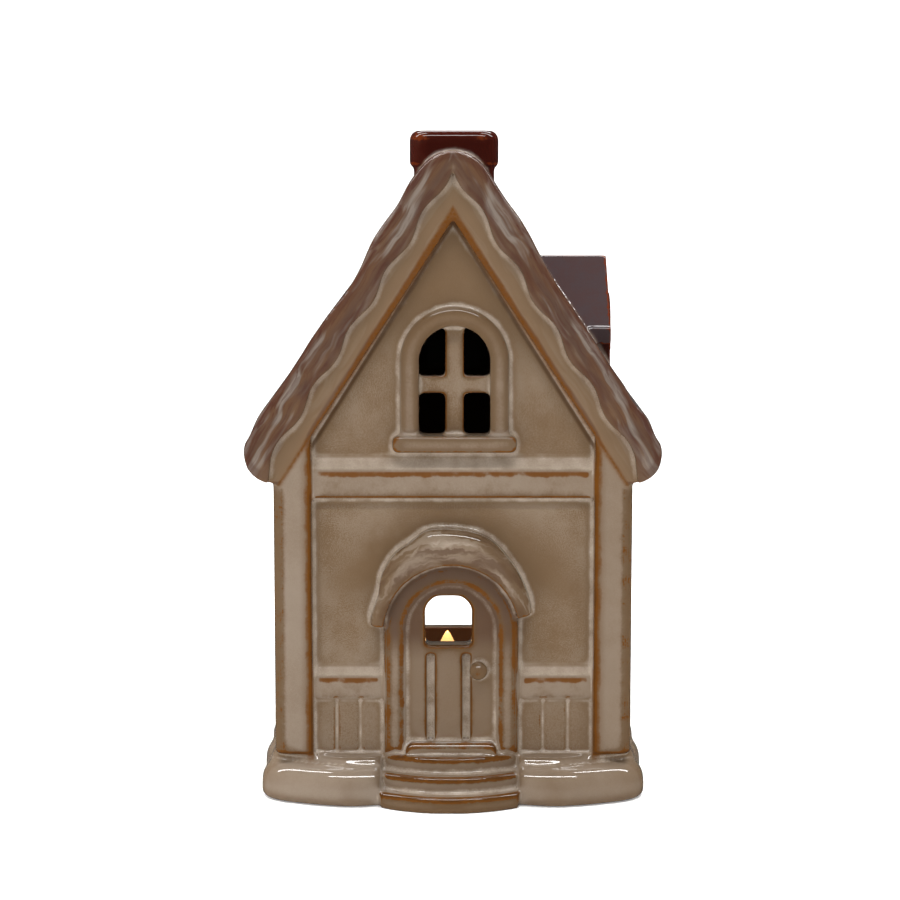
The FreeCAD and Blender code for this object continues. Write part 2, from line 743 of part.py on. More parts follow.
def gable(label, holes, start):
    """The wall above the front or back wall, up to the roof's inner faces."""
    depth = size["roof_thickness"]
    outline = polygon([
        (-wall_x, gable_foot),
        (wall_x, gable_foot),
        (wall_x, roof_height(wall_x, depth)),
        (0.0, roof_height(0.0, depth)),
        (-wall_x, roof_height(wall_x, depth)),
    ])
    return pad_body(label, "XZ_Plane", outline + holes, start, "Sizes.wall_thickness")


def side_wall(label, side):
    """A side wall: narrower between the posts, full length above them, its top cut to the roof."""
    outline = polygon([
        (-between_y, size["plinth_height"]),
        (between_y, size["plinth_height"]),
        (between_y, gable_foot),
        (room_y, gable_foot),
        (room_y, roof_apex),
        (-room_y, roof_apex),
        (-room_y, gable_foot),
        (-between_y, gable_foot),
    ])
    inner = "Sizes.wall_width / 2 - Sizes.wall_thickness"
    start = inner if side > 0 else "-Sizes.wall_width / 2"
    slab = pad_body(label + "_slab", "YZ_Plane", outline, start, "Sizes.wall_thickness")
    return combine("Part::Common", label, slab, under_roof)


def corner_post(label, side_x, side_y):
    """A square post whose outer corner is rounded, with a head that runs up to the thatch edge."""
    radius = size["post_round"]
    outer_x = side_x * post_x
    outer_y = side_y * post_y
    inner_x = side_x * between_x
    inner_y = side_y * between_y
    near_x = outer_x - side_x * radius
    near_y = outer_y - side_y * radius
    diagonal = radius * math.sqrt(0.5)
    middle = (near_x + side_x * diagonal, near_y + side_y * diagonal)
    curves = chain([
        (near_x, outer_y), (inner_x, outer_y), (inner_x, inner_y), (outer_x, inner_y), (outer_x, near_y),
    ])
    curves.append(three_point_arc((outer_x, near_y), middle, (near_x, outer_y)))
    body = pad_body(label, "XY_Plane", curves, "Sizes.plinth_height", f"{GABLE_FOOT} - Sizes.plinth_height")
    inner = (inner_x, gable_foot)
    outer = (side_x * roof_reach(gable_foot, size["band_foot_width"]), gable_foot)
    head = polygon([inner, outer, (inner_x, band_height(between_x))])
    start = FRONT if side_y < 0 else f"-({FRONT}) - Sizes.post_front"
    add_pad(body, "XZ_Plane", head, start, "Sizes.post_front")
    return body


keep(long_wall("front_wall", peep_hole(), ROOM_FRONT))
keep(long_wall("back_wall", arch(0.0, size["arch_half"], arch_sill, arch_spring), f"-({FRONT})"))
keep(gable("front_gable", window_hole(), ROOM_FRONT))
keep(gable("back_gable", [], f"-({FRONT})"))
for name, side in (("left", -1), ("right", 1)):
    keep(side_wall(f"{name}_wall", side))
    keep(corner_post(f"{name}_front_post", side, -1))
    keep(corner_post(f"{name}_back_post", side, 1))

# Beams, wainscot and boards on the walls

BETWEEN_X = "Sizes.wall_width / 2 + Sizes.post_proud - Sizes.post_width"
BETWEEN_Y = "Sizes.wall_depth / 2 + Sizes.post_front - Sizes.post_width"


def beam_section(foot, height, ledge, proud, face, outward):
    """A beam's section: a bulged face with a sloping ledge on top, drawn with height upwards."""
    top = foot + height
    lip = face + outward * proud * LIP_SHARE
    middle = (face + outward * proud, foot + height / 2)
    curves = chain([(lip, top), (face, top + ledge), (face, foot), (lip, foot)])
    curves.append(three_point_arc((lip, foot), middle, (lip, top)))
    return curves


def cornice(label, outward):
    height = size["cornice_height"]
    section = beam_section(
        gable_foot - height / 2, height, size["cornice_ledge"], size["cornice_proud"],
        outward * wall_y, outward,
    )
    return pad_body(label, "YZ_Plane", section, f"-({BETWEEN_X})", f"2 * ({BETWEEN_X})")


keep(cornice("front_cornice", -1))
keep(cornice("back_cornice", 1))


def rail_section(face, outward):
    return beam_section(
        rail_foot, size["rail_height"], size["ledge_height"], size["rail_proud"], face, outward,
    )


def boards_outline(low, high):
    """The boards between two places, seen square to the wall."""
    return upright_box(low, high, board_foot, rail_foot)


def groove_outlines(low, high, count):
    """The grooves that part the boards."""
    curves = []
    board = (high - low) / count
    half = size["board_groove"] / 2
    foot = board_foot - size["overrun"]
    top = rail_foot + size["overrun"]
    for number in range(1, count):
        middle = low + board * number
        curves += upright_box(middle - half, middle + half, foot, top)
    return curves


FRAME_LEFT = "Sizes.door_centre - Sizes.door_half - Sizes.door_frame_width"
FRAME_RIGHT = "Sizes.door_centre + Sizes.door_half + Sizes.door_frame_width"
front_stretches = (
    ("left", -between_x, size["door_centre"] - frame_outer,
     f"-({BETWEEN_X})", f"({BETWEEN_X}) + ({FRAME_LEFT})"),
    ("right", size["door_centre"] + frame_outer, between_x,
     FRAME_RIGHT, f"({BETWEEN_X}) - ({FRAME_RIGHT})"),
)
for name, low, high, start, length in front_stretches:
    keep(pad_body(f"{name}_front_rail", "YZ_Plane", rail_section(-wall_y, -1), start, length))
    outline = boards_outline(low, high)
    boards = pad_body(f"{name}_front_boards", "XZ_Plane", outline, FRONT, "Sizes.board_proud")
    grooves = groove_outlines(low, high, BOARD_COUNT)
    add_pocket(boards, "XZ_Plane", grooves, f"{FRONT} + Sizes.board_proud / 2", "Sizes.board_proud")
    keep(boards)

SIDE = "Sizes.wall_width / 2"
for name, side in (("left", -1), ("right", 1)):
    section = rail_section(side * wall_x, side)
    keep(pad_body(f"{name}_side_rail", "XZ_Plane", section, f"-({BETWEEN_Y})", f"2 * ({BETWEEN_Y})"))
    outline = boards_outline(-between_y, between_y)
    start = SIDE if side > 0 else f"-({SIDE}) - Sizes.board_proud"
    boards = pad_body(f"{name}_side_boards", "YZ_Plane", outline, start, "Sizes.board_proud")
    grooves = groove_outlines(-between_y, between_y, SIDE_BOARD_COUNT)
    start = f"{SIDE} + Sizes.board_proud / 2" if side > 0 else f"-({SIDE}) - Sizes.board_proud * 3 / 2"
    add_pocket(boards, "YZ_Plane", grooves, start, "Sizes.board_proud")
    keep(boards)

# Door with its frame, knob and hood


def make_door():
    outline = arch(size["door_centre"], size["door_half"], door_foot, door_spring)
    body = pad_body("door_leaf", "XZ_Plane", outline + peep_hole(), FRONT, "Sizes.door_proud")
    grooves = []
    foot = door_foot - size["overrun"]
    top = door_spring - size["peep_drop"] - size["plank_groove"]
    half = size["plank_groove"] / 2
    for side in (-1, 1):
        middle = size["peep_centre"] + side * size["plank_half"]
        grooves += upright_box(middle - half, middle + half, foot, top)
    groove_floor = f"{FRONT} + Sizes.door_proud - Sizes.plank_groove_depth"
    add_pocket(body, "XZ_Plane", grooves, groove_floor, "Sizes.door_proud")
    return body


def make_door_frame():
    outline = arch_band(
        size["door_centre"], size["door_half"], size["door_frame_width"],
        top_step, door_spring,
    )
    body = pad_body("door_frame", "XZ_Plane", outline, FRONT, "Sizes.door_frame_proud")
    face = -wall_y - size["door_frame_proud"]
    round_edges(body, "Sizes.door_frame_round", lambda edge: lies_at(edge, 1, face))
    return body


def make_knob():
    """A ball with a flat back that sits on the door leaf."""
    knob = doc.addObject("Part::Sphere", "door_knob")
    knob.Label = "door_knob"
    knob.setExpression("Radius", "Sizes.knob_radius")
    knob.Angle1 = -45
    turned = Rotation(Vector(1, 0, 0), 90)
    knob.Placement = Placement(Vector(0, 0, 0), turned)
    knob.setExpression(".Placement.Base.x", "Sizes.door_centre + Sizes.knob_offset")
    knob.setExpression(".Placement.Base.y", f"-({FRONT}) - Sizes.door_proud - Sizes.knob_radius * sin(45)")
    knob.setExpression(".Placement.Base.z", f"{DOOR_FOOT} + Sizes.knob_height")
    doc.recompute()
    return knob


def make_hood():
    body = pad_body("door_hood", "XZ_Plane", hood_outline(), FRONT, "Sizes.hood_proud")
    face = -wall_y - size["hood_proud"]
    inner_length = math.pi * frame_outer
    round_edges(body, "Sizes.hood_round", lambda edge: lies_at(edge, 1, face) and edge.Length > inner_length)
    return body


keep(make_door())
keep(make_door_frame())
keep(make_knob())
keep(make_hood())

# Gable window


def make_window_frame():
    body = pad_body(
        "gable_window_frame", "XZ_Plane",
        arch_band(
            size["window_centre"], size["window_half"], size["window_frame_width"],
            window_foot, window_spring,
        ),
        FRONT, "Sizes.window_frame_proud",
    )
    face = -wall_y - size["window_frame_proud"]
    round_edges(body, "Sizes.window_frame_round", lambda edge: lies_at(edge, 1, face))
    return body


def make_window_bars():
    transom_foot = window_foot + size["transom_lift"]
    panes = window_panes(
        size["window_centre"], size["window_half"], size["mullion"], window_foot,
        transom_foot, transom_foot + size["transom"], window_spring,
    )
    start = f"{FRONT} - Sizes.bar_set_back - Sizes.bar_depth"
    return pad_body("gable_window_bars", "XZ_Plane", window_hole() + panes, start, "Sizes.bar_depth")


def make_window_sill():
    low = size["window_centre"] - size["sill_half"]
    high = size["window_centre"] + size["sill_half"]
    radius = size["sill_height"] / 3
    outline = rounded_box(low, high, window_foot - size["sill_height"], window_foot, radius, radius)
    body = pad_body("gable_window_sill", "XZ_Plane", outline, FRONT, "Sizes.sill_proud")
    face = -wall_y - size["sill_proud"]
    round_edges(body, "Sizes.sill_height / 5", lambda edge: lies_at(edge, 1, face))
    return body


keep(make_window_frame())
keep(make_window_bars())
keep(make_window_sill())

# Roof: two slopes and the thatch edge on both gables

dormer_reach = wall_x - size["dormer_set_back"]
dormer_foot = roof_height(dormer_reach)
dormer_ridge = dormer_foot + size["dormer_ridge_rise"]
dormer_pitch = math.atan2(
    size["dormer_ridge_rise"] - size["dormer_eave_rise"], size["dormer_half"] + size["dormer_overhang"],
)
dormer_drop = size["dormer_roof"] / math.cos(dormer_pitch)
DORMER_REACH = "(Sizes.wall_width / 2 - Sizes.dormer_set_back)"


def dormer_height(y, below=0.0):
    return dormer_ridge - abs(y) * math.tan(dormer_pitch) - below


def dormer_section(half, below, foot):
    return polygon([
        (-half, foot),
        (half, foot),
        (half, dormer_height(half, below)),
        (0.0, dormer_height(0.0, below)),
        (-half, dormer_height(half, below)),
    ])


def make_light_well():
    """The hole through the right slope that lets light up into the dormer."""
    half = size["dormer_half"] / 3
    top = dormer_height(half, dormer_drop + size["dormer_wall"])
    low = roof_reach(top)
    high = dormer_reach - size["dormer_wall"] - size["fit_gap"]
    return pad_body("light_well", "XY_Plane", upright_box(low, high, -half, half), GABLE_FOOT, APEX)


flue = doc.addObject("Part::Cylinder", "flue_bore")
flue.setExpression("Radius", "Sizes.flue_radius")
flue.setExpression("Height", APEX)
flue.setExpression(".Placement.Base.x", "Sizes.chimney_centre")
flue.setExpression(".Placement.Base.z", "Sizes.overrun")

for name, side, holes in (("left", -1, [flue]), ("right", 1, [flue, make_light_well()])):
    blank = pad_body(f"{name}_roof_blank", "XZ_Plane", slope_outline(side), f"-({FRONT})", "Sizes.wall_depth")
    keep(cut(f"{name}_roof_slope", blank, *holes))


def roof_edge(label, face_start, rib_start):
    """The thatch edge on one gable: a band with a thick wavy rib along its outer side."""
    body = pad_body(label, "XZ_Plane", band_outline(), face_start, "Sizes.band_depth")
    add_pad(body, "XZ_Plane", rib_outline(), rib_start, "Sizes.rib_depth")
    return body


keep(roof_edge("front_roof_edge", FRONT, f"{FRONT} + Sizes.band_depth"))
keep(roof_edge(
    "back_roof_edge", f"-({FRONT}) - Sizes.band_depth", f"-({FRONT}) - Sizes.band_depth - Sizes.rib_depth",
))

# Chimney with its cap and flue


def make_chimney():
    low = size["chimney_centre"] - size["chimney_half"]
    high = size["chimney_centre"] + size["chimney_half"]
    half = size["chimney_depth"] / 2
    radius = size["cap_round"]
    out = size["cap_proud"]
    body = new_body("chimney_blank")
    stack = rounded_box(low, high, -half, half, radius, radius)
    foot = f"{CHIMNEY_TOP} - 4 * Sizes.cap_height"
    add_pad(body, "XY_Plane", stack, foot, "4 * Sizes.cap_height - Sizes.cap_round")
    cap = rounded_box(low - out, high + out, -half - out, half + out, 2 * radius, 2 * radius)
    add_pad(body, "XY_Plane", cap, f"{CHIMNEY_TOP} - Sizes.cap_height", "Sizes.cap_height")
    top_place = roof_apex - size["chimney_drop"]
    foot_place = top_place - size["cap_height"]

    def is_rim(edge, place):
        """True for an edge of the cap that lies outside the stack at this height."""
        bounds = edge.BoundBox
        beside = bounds.XMin < low - out / 2 or bounds.XMax > high + out / 2
        before = bounds.YMin < -half - out / 2 or bounds.YMax > half + out / 2
        return lies_at(edge, 2, place) and (beside or before)

    round_edges(body, "Sizes.cap_round", lambda edge: is_rim(edge, top_place))
    round_edges(body, "Sizes.cap_proud * 0.8", lambda edge: is_rim(edge, foot_place))
    return cut("chimney", body, roof_envelope, flue)


keep(make_chimney())

# Dormer on the right slope


def make_dormer_walls():
    """A small gabled box, open below, whose back is cut to the roof."""
    start = f"{DORMER_REACH} / 4"
    foot = gable_foot
    inner = size["dormer_half"] - size["dormer_wall"]
    below = dormer_drop + size["dormer_wall"]
    block = pad_body(
        "dormer_block", "YZ_Plane", dormer_section(size["dormer_half"], dormer_drop, foot),
        start, f"{DORMER_REACH} * 3 / 4",
    )
    add_pocket(
        block, "YZ_Plane", dormer_section(inner, below, foot - size["overrun"]),
        start, f"{DORMER_REACH} * 3 / 4 - Sizes.dormer_wall",
    )
    window_low = dormer_foot + size["dormer_window_lift"]
    hole = arch(0.0, size["dormer_window_half"], window_low, window_low + size["dormer_window_side"])
    add_pocket(block, "YZ_Plane", hole, start, DORMER_REACH)
    return cut("dormer_walls", block, roof_envelope)


def make_dormer_roof():
    half = size["dormer_half"] + size["dormer_overhang"]
    outline = polygon([
        (-half, dormer_height(half, dormer_drop)),
        (0.0, dormer_height(0.0, dormer_drop)),
        (half, dormer_height(half, dormer_drop)),
        (half, dormer_height(half)),
        (0.0, dormer_height(0.0)),
        (-half, dormer_height(half)),
    ])
    blank = pad_body(
        "dormer_roof_blank", "YZ_Plane", outline,
        f"{DORMER_REACH} / 4", f"{DORMER_REACH} * 3 / 4",
    )
    ridge = dormer_height(0.0)
    eave = dormer_height(half)

    def is_outer_edge(edge):
        along = edge.BoundBox.XLength > dormer_reach / 2
        return along and (lies_at(edge, 2, ridge) or lies_at(edge, 2, eave))

    round_edges(blank, "Sizes.dormer_roof / 3", is_outer_edge)
    return cut("dormer_roof_tiles", blank, roof_envelope)


def make_dormer_window():
    """The frame on the dormer's face, and the crossed bars in its opening."""
    half = size["dormer_window_half"]
    foot = dormer_foot + size["dormer_window_lift"]
    spring = foot + size["dormer_window_side"]
    frame = arch_band(0.0, half, size["dormer_frame_width"], foot, spring)
    body = pad_body("dormer_window", "YZ_Plane", frame, DORMER_REACH, "Sizes.dormer_frame_proud")
    bar = size["dormer_bar"] / 2
    middle = spring - bar
    top = spring + math.sqrt(half ** 2 - bar ** 2)
    cross = polygon([
        (-bar, foot), (bar, foot), (bar, middle - bar), (half, middle - bar),
        (half, middle + bar), (bar, middle + bar), (bar, top), (-bar, top),
        (-bar, middle + bar), (-half, middle + bar), (-half, middle - bar), (-bar, middle - bar),
    ])
    start = f"{DORMER_REACH} - Sizes.dormer_wall / 2"
    add_pad(body, "YZ_Plane", cross, start, "Sizes.dormer_wall / 2 + Sizes.dormer_frame_proud / 2")
    return body


keep(make_dormer_walls())
keep(make_dormer_roof())
keep(make_dormer_window())

# Tealight: an electric one, drawn round its own axis with its rim at z = 0, then set on the floor

wall = size["light_wall"]
inner_radius = size["light_radius"] - wall
plate_top = size["plate_foot"] + size["plate_thickness"]
collar = size["flame_radius"] - wall / 3
top_low = size["light_height"] - 2 * wall
lens_foot = top_low - wall


def place_light(item):
    item.setExpression(".Placement.Base.x", "Sizes.light_centre_x")
    item.setExpression(".Placement.Base.y", "Sizes.light_centre_y")
    item.setExpression(".Placement.Base.z", "Sizes.floor_height")
    doc.recompute()
    return item


def make_housing():
    """A cup with a dished top and a collar round the flame, open below."""
    radius = size["light_radius"]
    top = size["light_height"]
    body = new_body("tealight_housing")
    add_revolution(body, polygon([
        (inner_radius, 0.0), (radius, 0.0), (radius, top - wall / 2), (radius - wall / 2, top),
        (inner_radius - wall / 2, top), (inner_radius - wall, top - wall / 2),
        (collar + wall, top_low), (collar + wall, top_low + wall / 2), (collar, top_low + wall / 2),
        (collar, lens_foot), (inner_radius - wall / 2, top - 2 * wall), (inner_radius, top - 3 * wall),
    ]))
    return body


def make_flame():
    """A hollow teardrop with a flange that the housing's collar holds down."""
    base = collar
    widest = size["flame_radius"]
    start = top_low + wall / 2
    length = size["flame_length"]
    skin = wall / 2
    outer_shares = ((1.0, 0.2), (0.92, 0.42), (0.66, 0.64), (0.36, 0.83), (0.13, 0.96))
    inner_shares = ((0.92, 0.2), (0.8, 0.42), (0.5, 0.64))
    tip = (0.0, start + length)
    inner_tip = (0.0, start + length * INNER_TIP_SHARE)
    room = widest - skin
    outside = [(base, start)] + [(widest * r, start + length * z) for r, z in outer_shares] + [tip]
    inside = [(base - skin, start)] + [(room * r, start + length * z) for r, z in inner_shares] + [inner_tip]
    flange = base + wall / 2
    flange_foot = lens_foot - skin
    curves = chain([
        (base, start), (base, lens_foot), (flange, lens_foot),
        (flange, flange_foot), (base - skin, flange_foot), (base - skin, start),
    ])
    curves += [spline(outside), spline(inside)] + chain([inner_tip, tip])
    body = new_body("flame_lens")
    add_revolution(body, curves)
    return body


tray_inner = size["cell_radius"] + size["fit_gap"]
tray_outer = tray_inner + size["tray_wall"]
post_radius = size["tray_wall"] * POST_SHARE
post_ring = size["board_radius"] - post_radius / 2
cell_foot = plate_top + size["contact_thickness"]
switch_half = size["nub_half"] + size["switch_travel"] / 2 + size["fit_gap"]


def door_outline(spare):
    """The battery door: a round cover with one screw tab towards the back."""
    radius = size["cell_radius"] + spare
    half = size["screw_head"] * TAB_SHARE + spare
    reach = post_ring + size["screw_head"] + spare
    angle = math.degrees(math.asin(half / radius))
    rise = math.sqrt(radius ** 2 - half ** 2)
    curves = chain([(half, rise), (half, reach), (-half, reach), (-half, rise)])
    curves.append(corner_arc(0.0, 0.0, radius, 180 - (90 - angle), 360 + (90 - angle)))
    return curves


def make_base_plate():
    """The plate that closes the housing, with the ring round the cell and the board's posts."""
    body = new_body("tealight_base")
    front = -size["switch_centre"]
    nub = size["nub_half"] * NUB_WIDTH_SHARE + size["fit_gap"]
    slot = upright_box(-switch_half, switch_half, front - nub, front + nub)
    outline = circle(0.0, 0.0, inner_radius) + door_outline(size["fit_gap"] / 2) + slot
    add_pad(body, "XY_Plane", outline, "Sizes.plate_foot", "Sizes.plate_thickness")
    ring = circle(0.0, 0.0, tray_outer) + circle(0.0, 0.0, tray_inner)
    start = "Sizes.plate_foot + Sizes.plate_thickness"
    add_pad(body, "XY_Plane", ring, start, "Sizes.cell_height + Sizes.tray_wall / 2")
    posts = []
    for number in range(POST_COUNT):
        angle = math.radians(90 + 360 / POST_COUNT * number)
        posts += circle(post_ring * math.cos(angle), post_ring * math.sin(angle), post_radius)
    add_pad(body, "XY_Plane", posts, start, f"Sizes.board_height - ({start})")
    bore = circle(0.0, post_ring, size["screw_radius"])
    add_pocket(body, "XY_Plane", bore, "Sizes.plate_foot", "Sizes.board_height / 2")
    half = size["contact_width"] / 2 + size["fit_gap"]
    notch = upright_box(-tray_outer - size["overrun"], 0.0, -half, half)
    add_pocket(body, "XY_Plane", notch, start, "Sizes.cell_height + Sizes.tray_wall")
    return body


def make_battery_door():
    hole = circle(0.0, post_ring, size["screw_radius"])
    return pad_body(
        "battery_door", "XY_Plane", door_outline(0.0) + hole,
        "Sizes.plate_foot", "Sizes.plate_thickness",
    )


def make_door_screw():
    shank = circle(0.0, post_ring, size["screw_radius"])
    head = circle(0.0, post_ring, size["screw_head"])
    body = pad_body("battery_door_screw", "XY_Plane", shank, "Sizes.plate_foot", "Sizes.board_height / 2")
    add_pad(body, "XY_Plane", head, "Sizes.plate_foot / 4", "Sizes.plate_foot * 3 / 4")
    return body


def make_cell():
    body = pad_body(
        "coin_cell", "XY_Plane", circle(0.0, 0.0, size["cell_radius"]),
        "Sizes.plate_foot + Sizes.plate_thickness + Sizes.contact_thickness", "Sizes.cell_height",
    )
    low = cell_foot
    high = cell_foot + size["cell_height"]
    round_edges(body, "Sizes.cell_height / 8", lambda edge: lies_at(edge, 2, low) or lies_at(edge, 2, high))
    return body


def make_contacts():
    """Two bent strips: one from under the cell up to the board, one from on top of it."""
    thick = size["contact_thickness"]
    board = size["board_height"]
    outside = -tray_outer - size["fit_gap"]
    inside = -size["cell_radius"] / 3
    negative = polygon([
        (inside, plate_top), (inside, cell_foot), (outside, cell_foot), (outside, board),
        (outside - thick, board), (outside - thick, plate_top),
    ])
    cell_top = cell_foot + size["cell_height"]
    right = size["cell_radius"] * CONTACT_SHARE
    positive = polygon([
        (-right / 2, cell_top), (right, cell_top), (right, board), (right - thick, board),
        (right - thick, cell_top + thick), (-right / 2, cell_top + thick),
    ])
    edge = "-Sizes.contact_width / 2"
    lower = pad_body("negative_contact", "XZ_Plane", negative, edge, "Sizes.contact_width")
    upper = pad_body("positive_contact", "XZ_Plane", positive, edge, "Sizes.contact_width")
    return lower, upper


def make_board():
    return pad_body(
        "circuit_board", "XY_Plane", circle(0.0, 0.0, size["board_radius"]),
        "Sizes.board_height", "Sizes.board_thickness",
    )


def make_led():
    """A small LED: a straight body with a round end, standing on the board."""
    radius = size["led_radius"]
    foot = size["board_height"] + size["board_thickness"]
    straight = foot + 2 * radius
    curves = chain([(0.0, straight + radius), (0.0, foot), (radius, foot), (radius, straight)])
    curves.append(corner_arc(0.0, straight, radius, 0, 90))
    body = new_body("led")
    add_revolution(body, curves)
    return body


def make_switch():
    """The slider, whose nub shows in the base plate's slot, and the housing over it."""
    gap = size["fit_gap"]
    front = -size["switch_centre"]
    rest = size["switch_travel"] / 2

    def block(middle, half_x, half_y):
        return upright_box(middle - half_x, middle + half_x, front - half_y, front + half_y)

    nub_x = size["nub_half"]
    nub_y = nub_x * NUB_WIDTH_SHARE
    flange_x = nub_x + 2 * gap
    flange_y = nub_y + gap
    hollow_x = flange_x + rest + gap
    hollow_y = flange_y + gap
    case_x = hollow_x + wall / 2
    case_y = hollow_y + wall / 3
    plate = "Sizes.plate_foot + Sizes.plate_thickness"
    slider = pad_body(
        "switch_slider", "XY_Plane", block(rest, nub_x, nub_y),
        "Sizes.plate_foot", "Sizes.plate_thickness + Sizes.fit_gap",
    )
    add_pad(
        slider, "XY_Plane", block(rest, flange_x, flange_y),
        f"{plate} + Sizes.fit_gap", "Sizes.plate_thickness / 2",
    )
    case = pad_body("switch_case", "XY_Plane", block(0.0, case_x, case_y), plate, "2 * Sizes.plate_thickness")
    add_pocket(
        case, "XY_Plane", block(0.0, hollow_x, hollow_y),
        plate, "Sizes.plate_thickness / 2 + 2 * Sizes.fit_gap",
    )
    return slider, case


keep(place_light(make_housing()))
keep(place_light(make_flame()))
keep(place_light(make_base_plate()))
keep(place_light(make_battery_door()))
keep(place_light(make_door_screw()))
keep(place_light(make_cell()))
for contact in make_contacts():
    keep(place_light(contact))
keep(place_light(make_board()))
keep(place_light(make_led()))
for switch_part in make_switch():
    keep(place_light(switch_part))

# Check every object, then write each sub-part

doc.recompute()
for item in doc.Objects:
    if "Invalid" in item.State or "Error" in item.State:
        raise RuntimeError(f"{item.Label} failed: {item.State}")
os.makedirs("parts", exist_ok=True)
for item in finished:
    if item.Shape.isNull() or not item.Shape.isValid():
        raise RuntimeError(f"{item.Label} has no valid shape")
for item in finished:
    item.Shape.exportStep(os.path.join("parts", item.Label + ".step"))
    print(f"{item.Label}: {len(item.Shape.Solids)} solid, {item.Shape.Volume:.0f} mm3")
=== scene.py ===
import json
import math

import bpy
import numpy as np
from bpy.props import FloatProperty, FloatVectorProperty, IntProperty, PointerProperty
from mathutils import Euler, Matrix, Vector
from mathutils.bvhtree import BVHTree


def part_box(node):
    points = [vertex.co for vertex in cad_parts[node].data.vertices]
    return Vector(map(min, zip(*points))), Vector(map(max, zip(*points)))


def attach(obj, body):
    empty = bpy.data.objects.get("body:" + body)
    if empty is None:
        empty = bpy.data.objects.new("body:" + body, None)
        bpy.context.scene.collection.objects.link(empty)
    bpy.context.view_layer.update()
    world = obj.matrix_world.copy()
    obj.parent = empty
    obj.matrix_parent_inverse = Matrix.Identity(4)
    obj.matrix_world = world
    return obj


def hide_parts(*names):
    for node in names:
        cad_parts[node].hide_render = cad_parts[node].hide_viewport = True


bl_info = {
    "name": "Tealight House",
    "version": (1, 0, 0),
    "blender": (4, 5, 0),
    "location": "View3D > Sidebar > House",
    "description": "Glazes a ceramic tealight house and sets it in a studio",
    "category": "Object",
}

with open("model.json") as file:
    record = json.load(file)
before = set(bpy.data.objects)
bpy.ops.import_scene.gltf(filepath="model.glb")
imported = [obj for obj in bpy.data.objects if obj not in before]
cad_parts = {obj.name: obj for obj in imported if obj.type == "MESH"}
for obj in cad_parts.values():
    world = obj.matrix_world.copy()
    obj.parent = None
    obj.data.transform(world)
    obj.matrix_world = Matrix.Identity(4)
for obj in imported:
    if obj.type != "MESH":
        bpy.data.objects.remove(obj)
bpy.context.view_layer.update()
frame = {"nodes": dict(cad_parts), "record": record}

MM = 0.001
TOLERANCE = 0.1 * MM
HOUSE_NODES = list(frame["record"]["behaviour"]["bodies"]["house"])
ROOF_NODES = ("left_roof_slope", "right_roof_slope", "front_roof_edge", "back_roof_edge")
RED_NODES = ("chimney", "dormer_walls", "dormer_window")
TILE_NODES = ("dormer_roof_tiles",)
MASKS = {"on_roof": ROOF_NODES, "on_red": RED_NODES, "on_tiles": TILE_NODES, "on_hood": ("door_hood",)}

# How brown the glaze of a piece is, from 0 to 1. Pieces that aren't named have none of it
BROWN_SHARES = {
    "door_leaf": 0.55, "door_frame": 0.1, "door_steps": 0.5, "door_hood": 0.2, "left_front_boards": 0.3,
    "right_front_boards": 0.3, "gable_window_bars": 0.15, "gable_window_frame": 0.2, "door_knob": 0.5,
    "front_gable": 0.25, "left_side_boards": 0.3, "right_side_boards": 0.3,
}

# How readily the glaze of a piece runs thin over its edges. Pieces that aren't named have 1
THIN_SHARES = {
    "plinth_base": 0.25, "gable_window_frame": 0.6, "left_front_post": 1.5, "right_front_post": 1.5,
    "left_back_post": 1.5, "right_back_post": 1.5, "front_roof_edge": 1.4, "back_roof_edge": 1.4,
    "door_hood": 0.6, "door_frame": 1.4, "door_leaf": 2.2, "door_steps": 1.8, "gable_window_bars": 1.5,
    "gable_window_sill": 0.6, "door_knob": 0.35,
}

# How far the clay of a piece melts, from 0 to 1. Pieces that aren't named stay crisp
SOFT_SHARES = {
    "plinth_base": 1, "left_front_post": 0.3, "right_front_post": 0.3, "left_back_post": 0.3,
    "right_back_post": 0.3, "front_cornice": 0.15, "back_cornice": 0.15, "left_front_rail": 0.15,
    "right_front_rail": 0.15, "left_side_rail": 0.15, "right_side_rail": 0.15, "door_hood": 0.1,
    "door_frame": 0.1,
}
SOFT_LEVELS = 20

# Rounds of averaging over the skin, at the pieces' borders and where melting clay meets crisp clay
BORDER_ROUNDS = 3
MELT_ROUNDS = 12

# Heights between which a finish sets in, in millimetres
FOOT_LINE = (1, 2.5)
PLINTH_TOP = (7, 10)
POST_FOOT = (8, 11)
# Painted shade inside the chamber, from where it begins to where it is full
INSIDE_SHADE = (45, 62)
GABLE_SHADE = (92, 114)

# Width of the lip below a sloping ledge, and where the floor's glow grows from faint to full, in millimetres
LIP = 0.8
GLOW_REACH = (500, 1300)

# The skins that the fired clay is parted into, with the pieces that each one takes the place of
SKINS = (
    ("house_front", (
        "front_wall", "front_cornice", "left_front_post", "right_front_post", "left_front_rail",
        "left_front_boards", "right_front_rail", "right_front_boards",
    )),
    ("doorway", ("door_leaf", "door_frame", "door_knob", "door_hood")),
    ("gable_front", ("front_gable", "gable_window_frame", "gable_window_bars", "gable_window_sill")),
    ("plinth_front", ("plinth_base", "door_steps")),
    ("left_side", ("left_wall", "left_side_rail", "left_side_boards")),
    ("right_side", ("right_wall", "right_side_rail", "right_side_boards")),
    ("house_back", ("back_wall", "back_gable", "left_back_post", "right_back_post", "back_cornice")),
    ("left_thatch", ("left_roof_slope",)),
    ("right_thatch", ("right_roof_slope",)),
    ("front_thatch_edge", ("front_roof_edge",)),
    ("back_thatch_edge", ("back_roof_edge",)),
    ("chimney_stack", ("chimney",)),
    ("dormer_front", ("dormer_walls", "dormer_window")),
    ("dormer_tiles", TILE_NODES),
)

# Skins whose back half is a piece of its own, to keep each one light
HALVES = {
    "plinth_front": "plinth_back", "left_thatch": "left_thatch_back", "right_thatch": "right_thatch_back",
}

